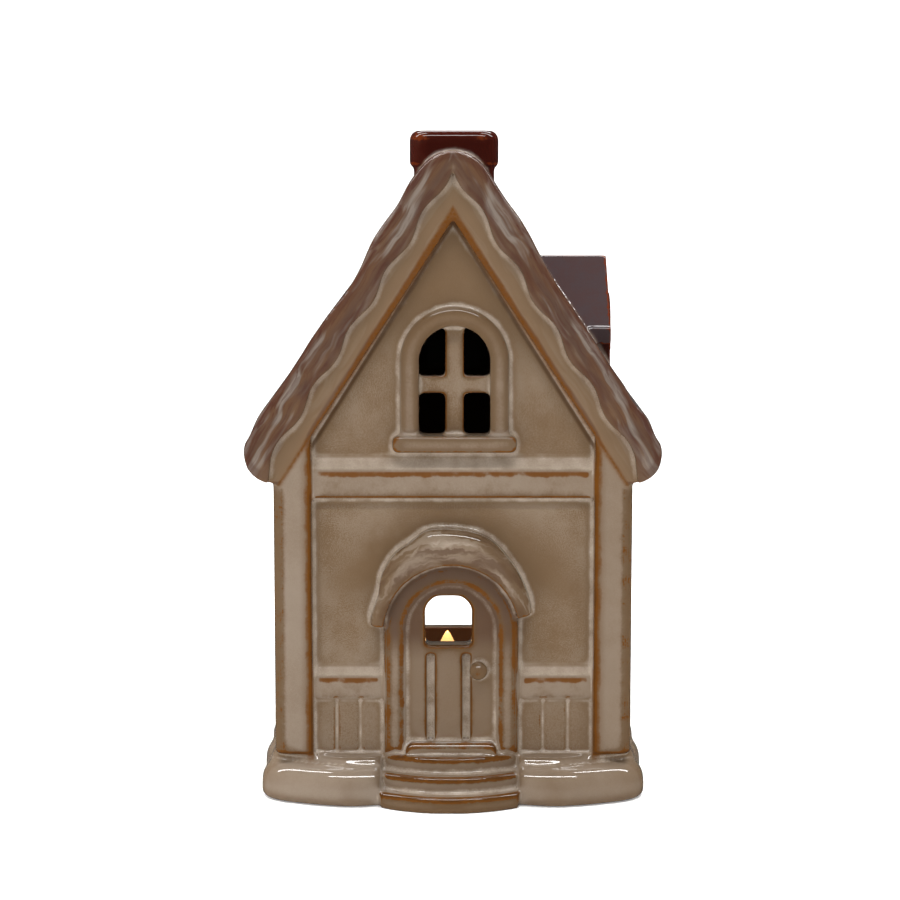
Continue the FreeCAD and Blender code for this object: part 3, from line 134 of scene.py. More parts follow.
# The skins of each glaze
WALL_SKINS = (
    "house_front", "doorway", "gable_front", "plinth_front", "plinth_back", "left_side", "right_side",
    "house_back",
)
ROOF_SKINS = (
    "left_thatch", "left_thatch_back", "right_thatch", "right_thatch_back", "front_thatch_edge",
    "back_thatch_edge", "dormer_tiles",
)
RED_SKINS = ("chimney_stack", "dormer_front")


# Sizes and colours

def linear(code):
    """A colour of a paint chart, given as six hexadecimal digits, in the light values that shaders use."""
    channels = [int(code[start:start + 2], 16) / 255 for start in (0, 2, 4)]
    return tuple(c / 12.92 if c <= 0.04045 else ((c + 0.055) / 1.055) ** 2.4 for c in channels)


def colour(name, description, code):
    return FloatVectorProperty(
        name=name, description=description, subtype="COLOR", size=3, min=0, max=1, default=linear(code),
    )


def length(name, description, millimetres):
    return FloatProperty(
        name=name, description=description, unit="LENGTH", precision=5, default=millimetres * MM,
    )


class ClaySettings(bpy.types.PropertyGroup):
    """How the fired clay is softened under its glaze."""

    cell: length("Skin cell", "Edge of the cells that the skin is built on", 0.4)
    passes: IntProperty(
        name="Softening", description="Rounds of smoothing all over the skin", default=7, min=0,
    )
    mound_passes: IntProperty(
        name="Mound softening", description="More rounds on the plinth and the thatch's rim", default=50,
        min=0,
    )
    near: length("Near reach", "How far around a point its edge or corner is felt", 0.5)
    far: length("Far reach", "How far around a point the wider form is felt", 1.8)
    thatch: length("Thatch thickness", "Thickness of the roof, square to its slope", 6.5)
    rim: length("Thatch rim", "Width of the thatch's soft outer rim", 2.2)
    cornice_ledge: length("Cornice ledge", "Height of the sloping ledge on the beam below the gable", 3.3)
    rail_ledge: length("Rail ledge", "Height of the sloping ledge on the wainscot's rail", 2.6)


class GlazeSettings(bpy.types.PropertyGroup):
    """The colours of the glazes."""

    wall: colour("Wall", "The glaze on flat walls", "837362")
    # Panel also paints the shade up the gable and over the right half of the house
    panel: colour("Panel", "Its darker clouds", "67523c")
    raised: colour("Raised", "The same glaze on posts and beams", "847668")
    # Brown also paints the shade towards the sides of the corner posts
    brown: colour("Brown", "Where it lies thin on the reliefs", "604b36")
    # Pooled also paints light on the upward ledges and a sheen on the plinth
    pooled: colour("Pooled", "Where it lies thick, in corners and grooves", "a89b8c")
    toffee: colour("Toffee", "Where it thins over a soft edge", "594530")
    broken: colour("Broken", "Where it breaks over an edge", "5f370d")
    burnt: colour("Burnt", "Where the edge is sharpest", "432911")
    # Painted shade: the bottom of sharp corners, and a painted shadow line on the gable beside the thatch's
    # rim
    deep_shade: colour("Deep", "The bottom of sharp corners", "46311e")
    # The dark purple brown of the hood's streaks, and also the painted shade round the door's head
    streaks_and_door_shade: colour("Smoke", "The dark purple brown round the door's head", "4d382a")
    inside: colour("Inside", "The glaze inside the chamber", "7d5c49")
    roof: colour("Roof", "The thatch's ground colour", "4d3a30")
    roof_grey: colour("Roof grey", "Streaks of pale glaze on the thatch", "7d746b")
    # Roof red also paints a shadow line along the thatch's step
    roof_red: colour("Roof red", "Streaks of iron red on the thatch", "40231b")
    roof_brown: colour("Roof brown", "Warm clouds on the thatch", "62452d")
    roof_band: colour("Roof band", "The thatch edge's inner band", "705b45")
    chimney: colour("Chimney", "The chimney's iron red", "310c06")
    dormer_roof: colour("Dormer roof", "The dormer's grey purple tiles", "392e2f")
    red_edge: colour("Red edge", "Where the iron red breaks over an edge", "56220c")
    # Painted shade in the chamber under the roof
    roof_shade_inside: colour("Soot", "The dark under the roof", "0d0907")
    flame: colour("Flame", "The lit flame", "ffd08c")


class StageSettings(bpy.types.PropertyGroup):
    """The studio round the house."""

    camera_x: length("Camera x", "The camera beside the house's middle", -0.66)
    camera_y: length("Camera y", "The camera before the house's middle", -575.2)
    camera_height: length("Camera height", "The camera above the table", 145.5)
    camera_dip: FloatProperty(
        name="Camera dip", description="How far the camera looks down", subtype="ANGLE",
        default=math.radians(7.1),
    )
    lens: FloatProperty(name="Lens", description="Focal length", unit="CAMERA", default=95.6)
    fill: FloatProperty(name="Fill", description="Light from all around", default=0.08, min=0)
    floor: length("Floor", "Edge of the square floor", 6000)
    backdrop: length("Backdrop", "Height of the backdrop", 1500)
    bend: length("Bend", "Radius of the bend between the floor and the backdrop", 600)


# Materials

class Value:
    """An output of a node. Arithmetic on it adds the Math nodes."""

    def __init__(self, finish, socket):
        self.finish = finish
        self.socket = socket

    def joined(self, operation, first, second=None):
        inputs = {0: first} if second is None else {0: first, 1: second}
        return self.finish.node("ShaderNodeMath", {"operation": operation}, inputs)

    def __add__(self, other):
        return self.joined("ADD", self, other)

    def __radd__(self, other):
        return self.joined("ADD", other, self)

    def __sub__(self, other):
        return self.joined("SUBTRACT", self, other)

    def __rsub__(self, other):
        return self.joined("SUBTRACT", other, self)

    def __mul__(self, other):
        return self.joined("MULTIPLY", self, other)

    def __rmul__(self, other):
        return self.joined("MULTIPLY", other, self)

    def __neg__(self):
        return self.joined("MULTIPLY", self, -1)

    def __abs__(self):
        return self.joined("ABSOLUTE", self)

    def between(self, low, high):
        """0 below the low value, 1 above the high one, and smooth in between."""
        return self.finish.node(
            "ShaderNodeMapRange", {"interpolation_type": "SMOOTHSTEP"},
            {"Value": self, "From Min": low, "From Max": high},
        )


class Finish:
    """A material with one Principled surface, and the nodes that its finish needs."""

    def __init__(self, name, **constants):
        self.material = bpy.data.materials.new(name)
        self.material.use_nodes = True
        self.tree = self.material.node_tree
        self.surface = self.tree.nodes["Principled BSDF"]
        for socket, value in constants.items():
            self.surface.inputs[socket.replace("_", " ")].default_value = value

    def node(self, kind, settings=None, inputs=None, output=0):
        """Adds a node, sets it up, gives its sockets their values or links, and returns an output."""
        made = self.tree.nodes.new(kind)
        for name, value in (settings or {}).items():
            setattr(made, name, value)
        for name, value in (inputs or {}).items():
            if isinstance(value, Value):
                self.tree.links.new(value.socket, made.inputs[name])
            else:
                made.inputs[name].default_value = value
        return Value(self, made.outputs[output])

    def feed(self, **sockets):
        """Links Values to the surface's sockets."""
        for name, value in sockets.items():
            self.tree.links.new(value.socket, self.surface.inputs[name.replace("_", " ")])

    def place(self):
        """The place on the house, in millimetres."""
        here = self.node("ShaderNodeTexCoord", output="Object")
        return self.node("ShaderNodeVectorMath", {"operation": "SCALE"}, {0: here, "Scale": 1 / MM})

    def parts(self, vector):
        made = self.node("ShaderNodeSeparateXYZ", inputs={0: vector})
        return [Value(self, output) for output in made.socket.node.outputs]

    def vector(self, x, y, z):
        return self.node("ShaderNodeCombineXYZ", inputs={0: x, 1: y, 2: z})

    def attribute(self, name):
        return self.node("ShaderNodeAttribute", {"attribute_name": name}, output="Fac")

    def distance(self, vector):
        return self.node("ShaderNodeVectorMath", {"operation": "LENGTH"}, {0: vector}, output="Value")

    def noise(self, vector, scale, detail, roughness=0.5):
        """Soft marks, as many to the millimetre as the scale says."""
        return self.node("ShaderNodeTexNoise", None, {
            "Vector": vector, "Scale": scale, "Detail": detail, "Roughness": roughness,
        })

    def mix(self, share, first, second):
        """From the first colour to the second one."""
        made = self.tree.nodes.new("ShaderNodeMix")
        made.data_type = "RGBA"
        for name, value in (("Factor", share), ("A", first), ("B", second)):
            kind = "VALUE" if name == "Factor" else "RGBA"
            socket = next(s for s in made.inputs if s.name == name and s.type == kind)
            if isinstance(value, Value):
                self.tree.links.new(value.socket, socket)
            else:
                socket.default_value = value if kind == "VALUE" else (*value, 1.0)
        return Value(self, next(s for s in made.outputs if s.type == "RGBA"))

    def bump(self, height, distance, strength):
        return self.node("ShaderNodeBump", None, {
            "Height": height, "Distance": distance, "Strength": strength,
        })


# Places on the house. The glaze works in millimetres, and the clay in metres

def box_mm(node):
    """Lowest and highest corner of a piece, in millimetres."""
    low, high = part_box(node)
    return low / MM, high / MM


def across(node):
    """Middle and half width of a piece along X, in millimetres."""
    low, high = box_mm(node)
    return (low.x + high.x) / 2, (high.x - low.x) / 2


def corners_of(node):
    """The points of a piece of the CAD model, in metres."""
    return np.array([vertex.co for vertex in frame["nodes"][node].data.vertices])


def roof_line():
    """Height where the outer lines of the two slopes meet, and their pitch."""
    gable = corners_of("front_gable")
    left_end = gable[gable[:, 0] < gable[:, 0].min() + TOLERANCE]
    pitch = math.atan2(gable[:, 2].max() - left_end[:, 2].max(), -gable[:, 0].min())
    thickness = bpy.context.scene.tealight_clay.thatch
    return gable[:, 2].max() + thickness / math.cos(pitch), pitch


def thatch_depth(x, z, unit=1.0):
    """How far a place lies below the roof's outer line, square to the slope. Takes arrays and Values."""
    apex, pitch = roof_line()
    return (apex / unit - z - abs(x) * math.tan(pitch)) * math.cos(pitch)


def rim_depth():
    """Depth of the inner rim of the thatch's edge."""
    edge = corners_of("front_roof_edge")
    return thatch_depth(edge[:, 0], edge[:, 2]).max()


class ReactiveGlaze(Finish):
    """One glossy glaze for the whole house: it pools in corners, breaks over edges and runs down the thatch.

    Its methods lay their colours over the shade that they are given, in the order of reactive_glaze.
    """

    def __init__(self, name):
        super().__init__(
            name, Roughness=0.5, Specular_IOR_Level=0.0, Coat_Weight=1.0, Coat_Roughness=0.03, Coat_IOR=1.5,
        )
        self.look = bpy.context.scene.tealight_glaze
        self.here = self.place()
        self.x, self.y, self.z = self.parts(self.here)
        self.near = self.attribute("glaze_near")
        self.far = self.attribute("glaze_far")
        self.thin = self.attribute("thin")
        self.on_roof = self.attribute("on_roof")
        self.on_red = self.attribute("on_red")

        # Marks from the size of a window down to that of a grain of sand
        self.cloud = self.noise(self.here, 0.05, 3.0)
        self.wander = self.noise(self.here, 0.3, 3.0) - 0.5
        self.grain = self.noise(self.here, 1.8, 3.0, 0.6) - 0.5
        self.speck = self.noise(self.here, 4.5, 2.0) - 0.5

        self.depth = thatch_depth(self.x, self.z, MM)
        self.front = -box_mm("front_wall")[0].y
        self.proud = abs(self.y) - self.front
        self.raised = self.proud.between(0.4, 1.4)

    def layers(self, base, *layers):
        """Lays colours over the base one by one, each with its share."""
        for share, shade in layers:
            base = self.mix(share, base, shade)
        return base

    def walls(self, base):
        """Darker clouds in the panels, paler where they stand out, and darker beside pools. The plinth is
        paler with milky glaze and a painted sheen, and painted shade darkens the gable upwards and the right
        half.
        """
        look = self.look
        clouds = (self.cloud + self.wander * 0.3 + self.grain * 0.3 + self.speck * 0.9).between(0.2, 0.8)
        return self.layers(
            base,
            (clouds, look.panel),
            (self.raised * (1 - self.cloud * 0.6), look.raised),
            ((self.far - self.near * 1.3).between(0.06, 0.3) * 0.5, look.panel),
            # Paler plinth: a milky glaze, and a painted sheen
            ((1 - self.z.between(*PLINTH_TOP)) * 0.12, look.pooled),
            # Painted shade: the gable darker towards its top
            (self.z.between(*GABLE_SHADE) * 0.85, look.panel),
            # Painted shade: the right half darker, as if the light came from the left
            ((self.x + self.wander * 20).between(-10, 45) * 0.3, look.panel),
            (self.attribute("brown") + (-self.far).between(0.1, 0.5) * 0.6, look.brown),
        )

    def posts(self, ground):
        """Corner posts: pale in the middle and darker brown towards both sides, a painted shade of their
        rounding. Their lines join the breaks.
        """
        middle, half = across("right_front_post")
        aside = abs(self.x) - middle
        post = self.raised * (1 - self.on_roof) * (1 - abs(aside).between(half, half + 0.5))
        post = post * self.z.between(*POST_FOOT)
        inner_side = (-aside + self.wander * 1.5).between(half * 0.6, half * 0.78)
        self.post_lines = post * inner_side * (0.7 + self.wander + self.grain)
        # Painted shade: each post darkens towards its sides, as a rounded post would
        return self.mix(post * abs(aside).between(half * 0.3, half * 0.9) * 0.75, ground, self.look.brown)

    def thatch(self, ground):
        """Fine strands along the slope, brown clouds, and wall glaze further in."""
        look, depth = self.look, self.depth
        pitch = roof_line()[1]
        along = abs(self.x) * math.cos(pitch) - self.z * math.sin(pitch)
        drift = (self.noise(self.here, 0.07, 2.0) - 0.5) * 5
        strands = self.vector(along * 0.04, (depth + drift) * 0.5, (self.y + drift) * 0.45)
        streak = self.noise(strands, 1.0, 2.0, 0.5)
        fine = self.noise(strands, 3.5, 2.0, 0.6)
        broad = self.noise(strands, 0.6, 3.0)
        inner = (depth + self.wander * 2.5).between(4.2, 7.4)
        self.strand_height = (streak * 0.5 + fine * 0.3) * self.on_roof * (1 - inner)
        straw = self.layers(
            look.roof,
            (broad.between(0.45, 0.62) * 0.5, look.roof_brown),
            (streak.between(0.44, 0.62) * 0.75, look.roof_grey),
            (fine.between(0.48, 0.62) * (0.65 - depth.between(0.6, 2.5) * 0.4), look.roof_red),
            (inner * 0.85, look.roof_band),
        )
        return self.mix(self.on_roof, ground, straw)

    def doorway(self, ground):
        """A dark cloud on the wall above the hood, streaks along the hood, and painted shade round the door's
        head under the hood.
        """
        look = self.look
        middle, half = across("door_leaf")
        top = box_mm("door_leaf")[1].z
        aside, rise = self.x - middle, self.z - (top - half)
        reach = self.distance(self.vector(aside, 0.0, rise))
        above_hood = (1 - (reach + self.wander * 8).between(half + 12, half + 24))
        above_hood = above_hood * (self.z - top).between(-6, 2)
        angle = aside.joined("ARCTAN2", aside, rise)
        arc = self.vector(reach * 0.5 + self.wander * 2, angle * 1.3, self.y * 0.2)
        streaks = self.noise(arc, 1.0, 3.0, 0.5)
        on_hood = self.attribute("on_hood")
        # Painted shade round the door's head, under the hood
        streaks_and_door_shade = (1 - (reach + self.wander * 5).between(half + 3.5, half + 8)) * rise.between(-8, 0)
        self.streaks_and_door_shade = streaks_and_door_shade * (-self.y - self.front).between(-0.5, 0.5)
        return self.layers(
            ground,
            (above_hood * (1 - self.raised), look.panel),
            (on_hood * streaks.between(0.46, 0.6) * 0.65, look.streaks_and_door_shade),
            (on_hood * (-streaks).between(-0.46, -0.36) * 0.5, look.pooled),
            (self.streaks_and_door_shade * 0.85, look.streaks_and_door_shade),
        )

    def beam_ledges(self):
        """1 along the lips of the beam below the gable and of the wainscot's rails, and 1 on their ledges."""
        clay = bpy.context.scene.tealight_clay
        lips = ledges = 0
        for node, height in (
            ("front_cornice", clay.cornice_ledge), ("left_front_rail", clay.rail_ledge),
            ("right_front_rail", clay.rail_ledge),
        ):
            middle, half = across(node)
            top = box_mm(node)[1].z
            above_lip = self.z + self.wander - (top - height / MM - LIP)
            from_end = half - abs(self.x - middle)
            lips = (1 - abs(above_lip).between(0.1, 1.1)) * (from_end - LIP).between(0, 1) + lips
            ledge = above_lip.between(0.6, 1.4) * (top + 0.6 - self.z).between(0, 0.6)
            ledges = ledge * from_end.between(0, 1) + ledges
        lips = (lips * self.proud.between(0.4, 0.9) * (0.9 + self.wander * 2)).between(0.1, 1)
        return lips, ledges * self.proud.between(0.1, 0.4)

    def pools(self, ground):
        """Pale where the glaze lies thick, and on the ledges pooled glaze with painted light. Painted shade
        at the bottom of sharp corners, and a painted shadow line along the thatch's step.
        """
        look, near, far, wander = self.look, self.near, self.far, self.wander
        self.lips, ledges = self.beam_ledges()
        pool = near * 1.1 + far * 0.15 + wander * 0.12 + self.grain * 0.05 + self.speck * 0.03
        self.pool = pool.between(0.05, 0.2)
        calm = (1 - self.on_red) * (1 - self.streaks_and_door_shade * 0.6) * (1 - self.on_roof * 0.4)
        return self.layers(
            ground,
            (self.pool * calm * (0.5 + wander * 1.3 + self.speck), look.pooled),
            # Pale on the ledges: pooled glaze, and painted light on their upward faces
            (ledges * (0.5 + wander + self.speck), look.pooled),
            # Painted shade at the bottom of sharp corners
            ((near + self.grain * 0.06).between(0.17, 0.25) * 0.8, look.deep_shade),
            # Painted shadow: a darker iron red line along the thatch's step
            ((-near - far * 0.3).between(0.04, 0.1) * self.on_roof * 0.5, look.roof_red),
        )

    def thatch_rim(self, shade):
        """A golden lip along the inner rim of the thatch's edge, and a painted shadow line on the gable
        beside it.
        """
        inward = self.depth - rim_depth() / MM
        lip = (inward + self.wander).between(-2.1, -1.3) * self.on_roof
        # Painted shadow: a dark line on the gable just inside the thatch's rim
        shadow = inward.between(-0.3, 0.1) * (1 - inward.between(0.4, 1.2)) * (1 - self.raised)
        return self.layers(
            shade, (lip * (0.8 + self.grain), self.look.broken), (shadow * 0.85, self.look.deep_shade),
        )

    def breaks(self, shade):
        """Golden brown where the glaze runs thin over edges, but not on the thatch or along the table."""
        look, wander, grain = self.look, self.wander, self.grain
        bare = self.near * self.thin
        above = self.z.between(*FOOT_LINE) * (1 - self.on_roof)
        toffee = (wander * 0.1 + grain * 0.06 - bare - self.far * 0.2).between(0.03, 0.11)
        edge = (wander * 0.08 + grain * 0.05 - bare).between(0.04, 0.07)
        self.edge = (edge + self.lips).between(0, 1) * above
        return self.layers(
            shade,
            (toffee * above * self.thin.between(0, 1) * 0.7, look.toffee),
            (self.edge * 0.9, look.broken),
            (self.post_lines * 0.8, look.broken),
            ((wander * 0.16 - bare).between(0.08, 0.17) * above * 0.7, look.burnt),
        )

    def iron_red(self, shade):
        """The chimney and the dormer, whose iron red breaks over their edges."""
        look = self.look
        red = self.layers(
            look.chimney,
            ((self.cloud + self.wander * 0.4).between(0.4, 0.7) * 0.5, look.roof_red),
            (self.edge, look.red_edge),
            (self.pool * 0.4, look.roof_grey),
        )
        tiles = self.layers(
            look.dormer_roof,
            ((self.cloud + self.wander + self.grain).between(0.4, 0.7) * 0.2, look.roof_red),
            (self.edge, look.red_edge),
        )
        return self.layers(shade, (self.on_red, red), (self.attribute("on_tiles"), tiles))

    def chamber(self, shade):
        """A duller glaze inside the chamber, with painted shade darkening it towards the roof."""
        inside = (box_mm("right_wall")[0].x - abs(self.x)).between(-0.9, -0.3)
        inside = inside * (-box_mm("front_wall")[1].y - abs(self.y)).between(-0.9, -0.3)
        inside = inside * (self.z - box_mm("plinth_base")[0].z).between(4, 6)
        self.inside = inside * self.depth.between(5.2, 6.2)
        # Painted shade: the chamber darkens towards the roof
        return self.mix(self.inside, shade, self.mix(self.z.between(*INSIDE_SHADE), self.look.inside, self.look.roof_shade_inside))


def reactive_glaze(name):
    """The house's glaze, laid from the ground of the walls to the painted shade in the chamber."""
    glaze = ReactiveGlaze(name)
    shade = glaze.look.wall
    for lay in (
        glaze.walls, glaze.posts, glaze.thatch, glaze.doorway, glaze.pools, glaze.thatch_rim, glaze.breaks,
        glaze.iron_red, glaze.chamber,
    ):
        shade = lay(shade)
    ripple = glaze.noise(glaze.here, 0.28, 2.0) + glaze.strand_height
    coat = 1 - glaze.inside * 0.9 - glaze.on_red * 0.35
    glaze.feed(Base_Color=shade, Coat_Weight=coat, Normal=glaze.bump(ripple, 0.3 * MM, 0.6))
    return glaze.material


# The fired clay

def select_only(*items):
    bpy.ops.object.select_all(action="DESELECT")
    for item in items:
        item.select_set(True)
    bpy.context.view_layer.objects.active = items[0]


def apply(item, kind, **settings):
    """Adds a modifier, sets it and applies it."""
    select_only(item)
    modifier = item.modifiers.new(kind.lower(), kind)
    for name, value in settings.items():
        setattr(modifier, name, value)
    bpy.ops.object.modifier_apply(modifier=modifier.name)


def raw_clay():
    """Merged copies of all the house's pieces in one mesh, whose faces know their piece."""
    copies = []
    for number, node in enumerate(HOUSE_NODES):
        item = bpy.data.objects.new(node + "_copy", frame["nodes"][node].data.copy())
        bpy.context.scene.collection.objects.link(item)
        piece = item.data.attributes.new("piece", "INT", "FACE")
        piece.data.foreach_set("value", [number] * len(item.data.polygons))
        copies.append(item)
    select_only(*copies)
    bpy.ops.object.join()
    clay = bpy.context.view_layer.objects.active
    clay.name = "fired_clay"
    bpy.ops.object.mode_set(mode="EDIT")
    bpy.ops.mesh.select_all(action="SELECT")
    bpy.ops.mesh.remove_doubles(threshold=MM / 1000)
    bpy.ops.object.mode_set(mode="OBJECT")
    return clay


def read(items, name, width=1, kind=np.float32):
    """The values of a property for all vertices, edges or faces, as rows."""
    values = np.empty(len(items) * width, kind)
    items.foreach_get(name, values)
    return values.reshape(-1, width) if width > 1 else values


class Links:
    """Each point's neighbours on the skin."""

    def __init__(self, mesh):
        ends = read(mesh.edges, "vertices", 2, np.int32)
        both = np.concatenate((ends, ends[:, ::-1]))
        both = both[np.argsort(both[:, 0], kind="stable")]
        self.others = both[:, 1]
        self.counts = np.bincount(both[:, 0], minlength=len(mesh.vertices))
        self.starts = np.concatenate(([0], np.cumsum(self.counts)[:-1]))

    def averaged(self, values, rounds):
        """Values blurred over the skin."""
        for _ in range(rounds):
            around = np.add.reduceat(values[self.others], self.starts, axis=0)
            counts = self.counts if values.ndim == 1 else self.counts[:, None]
            values = (values + around / counts) / 2
        return values


def store(mesh, name, values, kind="FLOAT"):
    attribute = mesh.attributes.new(name, kind, "POINT")
    attribute.data.foreach_set("value" if kind == "FLOAT" else "vector", values.astype(np.float32).ravel())


def rounds_for(reach, cell):
    """Rounds of averaging that blur a skin over a reach."""
    return round(4 * (reach / cell) ** 2)


def pieces_in(nodes):
    """The numbers that the clay's faces know these pieces by."""
    return [HOUSE_NODES.index(node) for node in nodes]


def fire(clay, settings, cell):
    """Turns the raw clay into one skin, stores the marks that its glaze reads, and softens it."""
    mesh = clay.data
    nearest = BVHTree.FromPolygons([v.co for v in mesh.vertices], [p.vertices for p in mesh.polygons])
    pieces = read(mesh.attributes["piece"].data, "value", kind=np.int32)
    apply(clay, "REMESH", mode="VOXEL", voxel_size=cell)
    mesh = clay.data
    points = read(mesh.vertices, "co", 3)
    normals = read(mesh.vertex_normals, "vector", 3)
    links = Links(mesh)
    near_rounds = rounds_for(settings.near, cell)
    near = links.averaged(points, near_rounds)
    far = links.averaged(near, rounds_for(settings.far, cell) - near_rounds)
    store(mesh, "glaze_near", ((near - points) * normals).sum(axis=1) / MM)
    store(mesh, "glaze_far", ((far - points) * normals).sum(axis=1) / MM)
    piece = np.array([pieces[nearest.find_nearest(vertex.co)[2]] for vertex in mesh.vertices])
    for name, table, usual in (("brown", BROWN_SHARES, 0), ("thin", THIN_SHARES, 1)):
        shares = np.array([table.get(node, usual) for node in HOUSE_NODES], float)
        store(mesh, name, links.averaged(shares[piece], BORDER_ROUNDS))
    for name, nodes in MASKS.items():
        chosen = np.isin(piece, pieces_in(nodes)).astype(np.float32)
        store(mesh, name, links.averaged(chosen, BORDER_ROUNDS))
    apply(clay, "SMOOTH", factor=0.5, iterations=settings.passes)
    soften(clay, links, points, piece, settings)
    store(mesh, "skin_normal", read(mesh.vertex_normals, "vector", 3), "FLOAT_VECTOR")
    return piece


def soften(clay, links, points, piece, settings):
    """Melts the plinth into a mound, and rounds the beams and the thatch's rim. The foot stays flat."""
    soft = np.array([SOFT_SHARES.get(node, 0) for node in HOUSE_NODES], float)[piece]
    soft[points[:, 2] < FOOT_LINE[1] * MM] = 0
    thatch = np.isin(piece, pieces_in(ROOF_NODES))
    depth = thatch_depth(points[:, 0], points[:, 2])
    reach = abs(points[:, 1])
    soft[thatch & (depth < settings.rim) & (reach > reach[thatch].max() - settings.rim)] = 1
    levels = np.round(links.averaged(soft, MELT_ROUNDS) * SOFT_LEVELS)
    group = clay.vertex_groups.new(name="mound")
    for level in range(1, SOFT_LEVELS + 1):
        group.add(np.flatnonzero(levels == level).tolist(), level / SOFT_LEVELS, "REPLACE")
    apply(clay, "SMOOTH", factor=0.5, iterations=settings.mound_passes, vertex_group="mound")


def part_skins(clay, piece):
    """Parts the fired clay into its skins, by the piece that each face lies nearest to."""
    mesh = clay.data
    mesh.materials.clear()
    skin_of_piece = np.zeros(len(HOUSE_NODES), np.int32)
    for number, (name, nodes) in enumerate(SKINS):
        mesh.materials.append(bpy.data.materials.new(name))
        skin_of_piece[pieces_in(nodes)] = number
    corners = read(mesh.loops, "vertex_index", kind=np.int32)
    first = corners[read(mesh.polygons, "loop_start", kind=np.int32)]
    skins = skin_of_piece[piece[first]]
    middle = read(mesh.polygons, "center", 3)
    for number, (name, nodes) in enumerate(SKINS):
        if name in HALVES:
            skins[(skins == number) & (middle[:, 1] > 0)] = len(mesh.materials)
            mesh.materials.append(bpy.data.materials.new(HALVES[name]))
    mesh.polygons.foreach_set("material_index", skins)
    mesh.update()
    select_only(clay)
    bpy.ops.mesh.separate(type="MATERIAL")
    for item in list(bpy.context.selected_objects):
        name = item.data.materials[0].name
        bpy.data.materials.remove(item.data.materials[0])
        item.name = name
        item.data.materials.clear()


def finish_skin(name, material):
    """Shades a skin with the normals of the undivided clay, so that no seam shows, and glazes it."""
    skin = bpy.data.objects[name]
    select_only(skin)
    bpy.ops.object.shade_smooth()
    skin.data.normals_split_custom_set_from_vertices(
        read(skin.data.attributes["skin_normal"].data, "vector", 3)
    )
    skin.data.attributes.remove(skin.data.attributes["skin_normal"])
    skin.data.materials.append(material)
    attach(skin, "house")
    nodes = dict(SKINS).get(name)
    if nodes:
        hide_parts(*nodes)


def glaze_skins(slot, names):
    """Gives skins one glaze, named like the slot that they share."""
    material = reactive_glaze(slot)
    for name in names:
        finish_skin(name, material)


class HOUSE_OT_clay(bpy.types.Operator):
    """Fires all the pieces of the house into one soft clay, and parts it into skins"""

    bl_idname = "house.clay"
    bl_label = "Fired clay"

    def execute(self, context):
        settings = context.scene.tealight_clay
        clay = raw_clay()
        piece = fire(clay, settings, settings.cell * (1))
        part_skins(clay, piece)
        return {"FINISHED"}


class HOUSE_OT_walls(bpy.types.Operator):
    """Glazes the plinth, the walls and all that stands on them"""

    bl_idname = "house.walls"
    bl_label = "Walls"

    def execute(self, context):
        glaze_skins("wall_glaze", WALL_SKINS)
        return {"FINISHED"}


class HOUSE_OT_roof(bpy.types.Operator):
    """Glazes the thatch and the dormer's tiles"""

    bl_idname = "house.roof"
    bl_label = "Roof"

    def execute(self, context):
        glaze_skins("roof_glaze", ROOF_SKINS)
        return {"FINISHED"}


class HOUSE_OT_chimney(bpy.types.Operator):
    """Glazes the chimney and the dormer's walls"""

    bl_idname = "house.chimney"
    bl_label = "Chimney and dormer"

    def execute(self, context):
        glaze_skins("chimney_glaze", RED_SKINS)
        return {"FINISHED"}


# The tealight

def grey(light):
    return (light, light, light)


def darker(shade, share):
    """A colour with only a share of its light."""
    return tuple(channel * share for channel in shade)


def plastic(name, shade, roughness):
    """Moulded plastic with a faint uneven skin."""
    finish = Finish(name, Roughness=roughness, Specular_IOR_Level=0.5)
    place = finish.place()
    cloud = finish.noise(place, 0.5, 3.0)
    fine = finish.noise(place, 12.0, 2.0)
    ground = finish.mix(cloud.between(0.3, 0.7) * 0.4, shade, darker(shade, 0.85))
    finish.feed(Base_Color=ground, Normal=finish.bump(fine, 0.03 * MM, 0.3))
    return finish.material


def metal(name, shade, roughness):
    """Drawn metal with fine lines along one way."""
    finish = Finish(name, Roughness=roughness, Metallic=1.0)
    place = finish.place()
    x, y, z = finish.parts(place)
    lines = finish.noise(finish.vector(x * 9, y * 0.6, z * 0.6), 1.0, 3.0)
    ground = finish.mix(lines.between(0.3, 0.7) * 0.5, shade, darker(shade, 0.7))
    finish.feed(Base_Color=ground, Normal=finish.bump(lines, 0.02 * MM, 0.4))
    return finish.material


def flame_plastic():
    """A lit amber teardrop, a little paler at its foot."""
    foot_colour = bpy.context.scene.tealight_glaze.flame
    tip_colour = (foot_colour[0], foot_colour[1] * 0.85, foot_colour[2] * 0.7)
    unlit_colour = (0.1, 0.05, 0.01)
    finish = Finish("flame_plastic", Roughness=0.4, Emission_Strength=1.0)
    x, y, z = finish.parts(finish.place())
    low, high = box_mm("flame_lens")
    shade = finish.mix(z.between(low.z, high.z) * 0.6, foot_colour, tip_colour)
    finish.feed(Base_Color=finish.mix(0.8, shade, unlit_colour), Emission_Color=shade)
    return finish.material


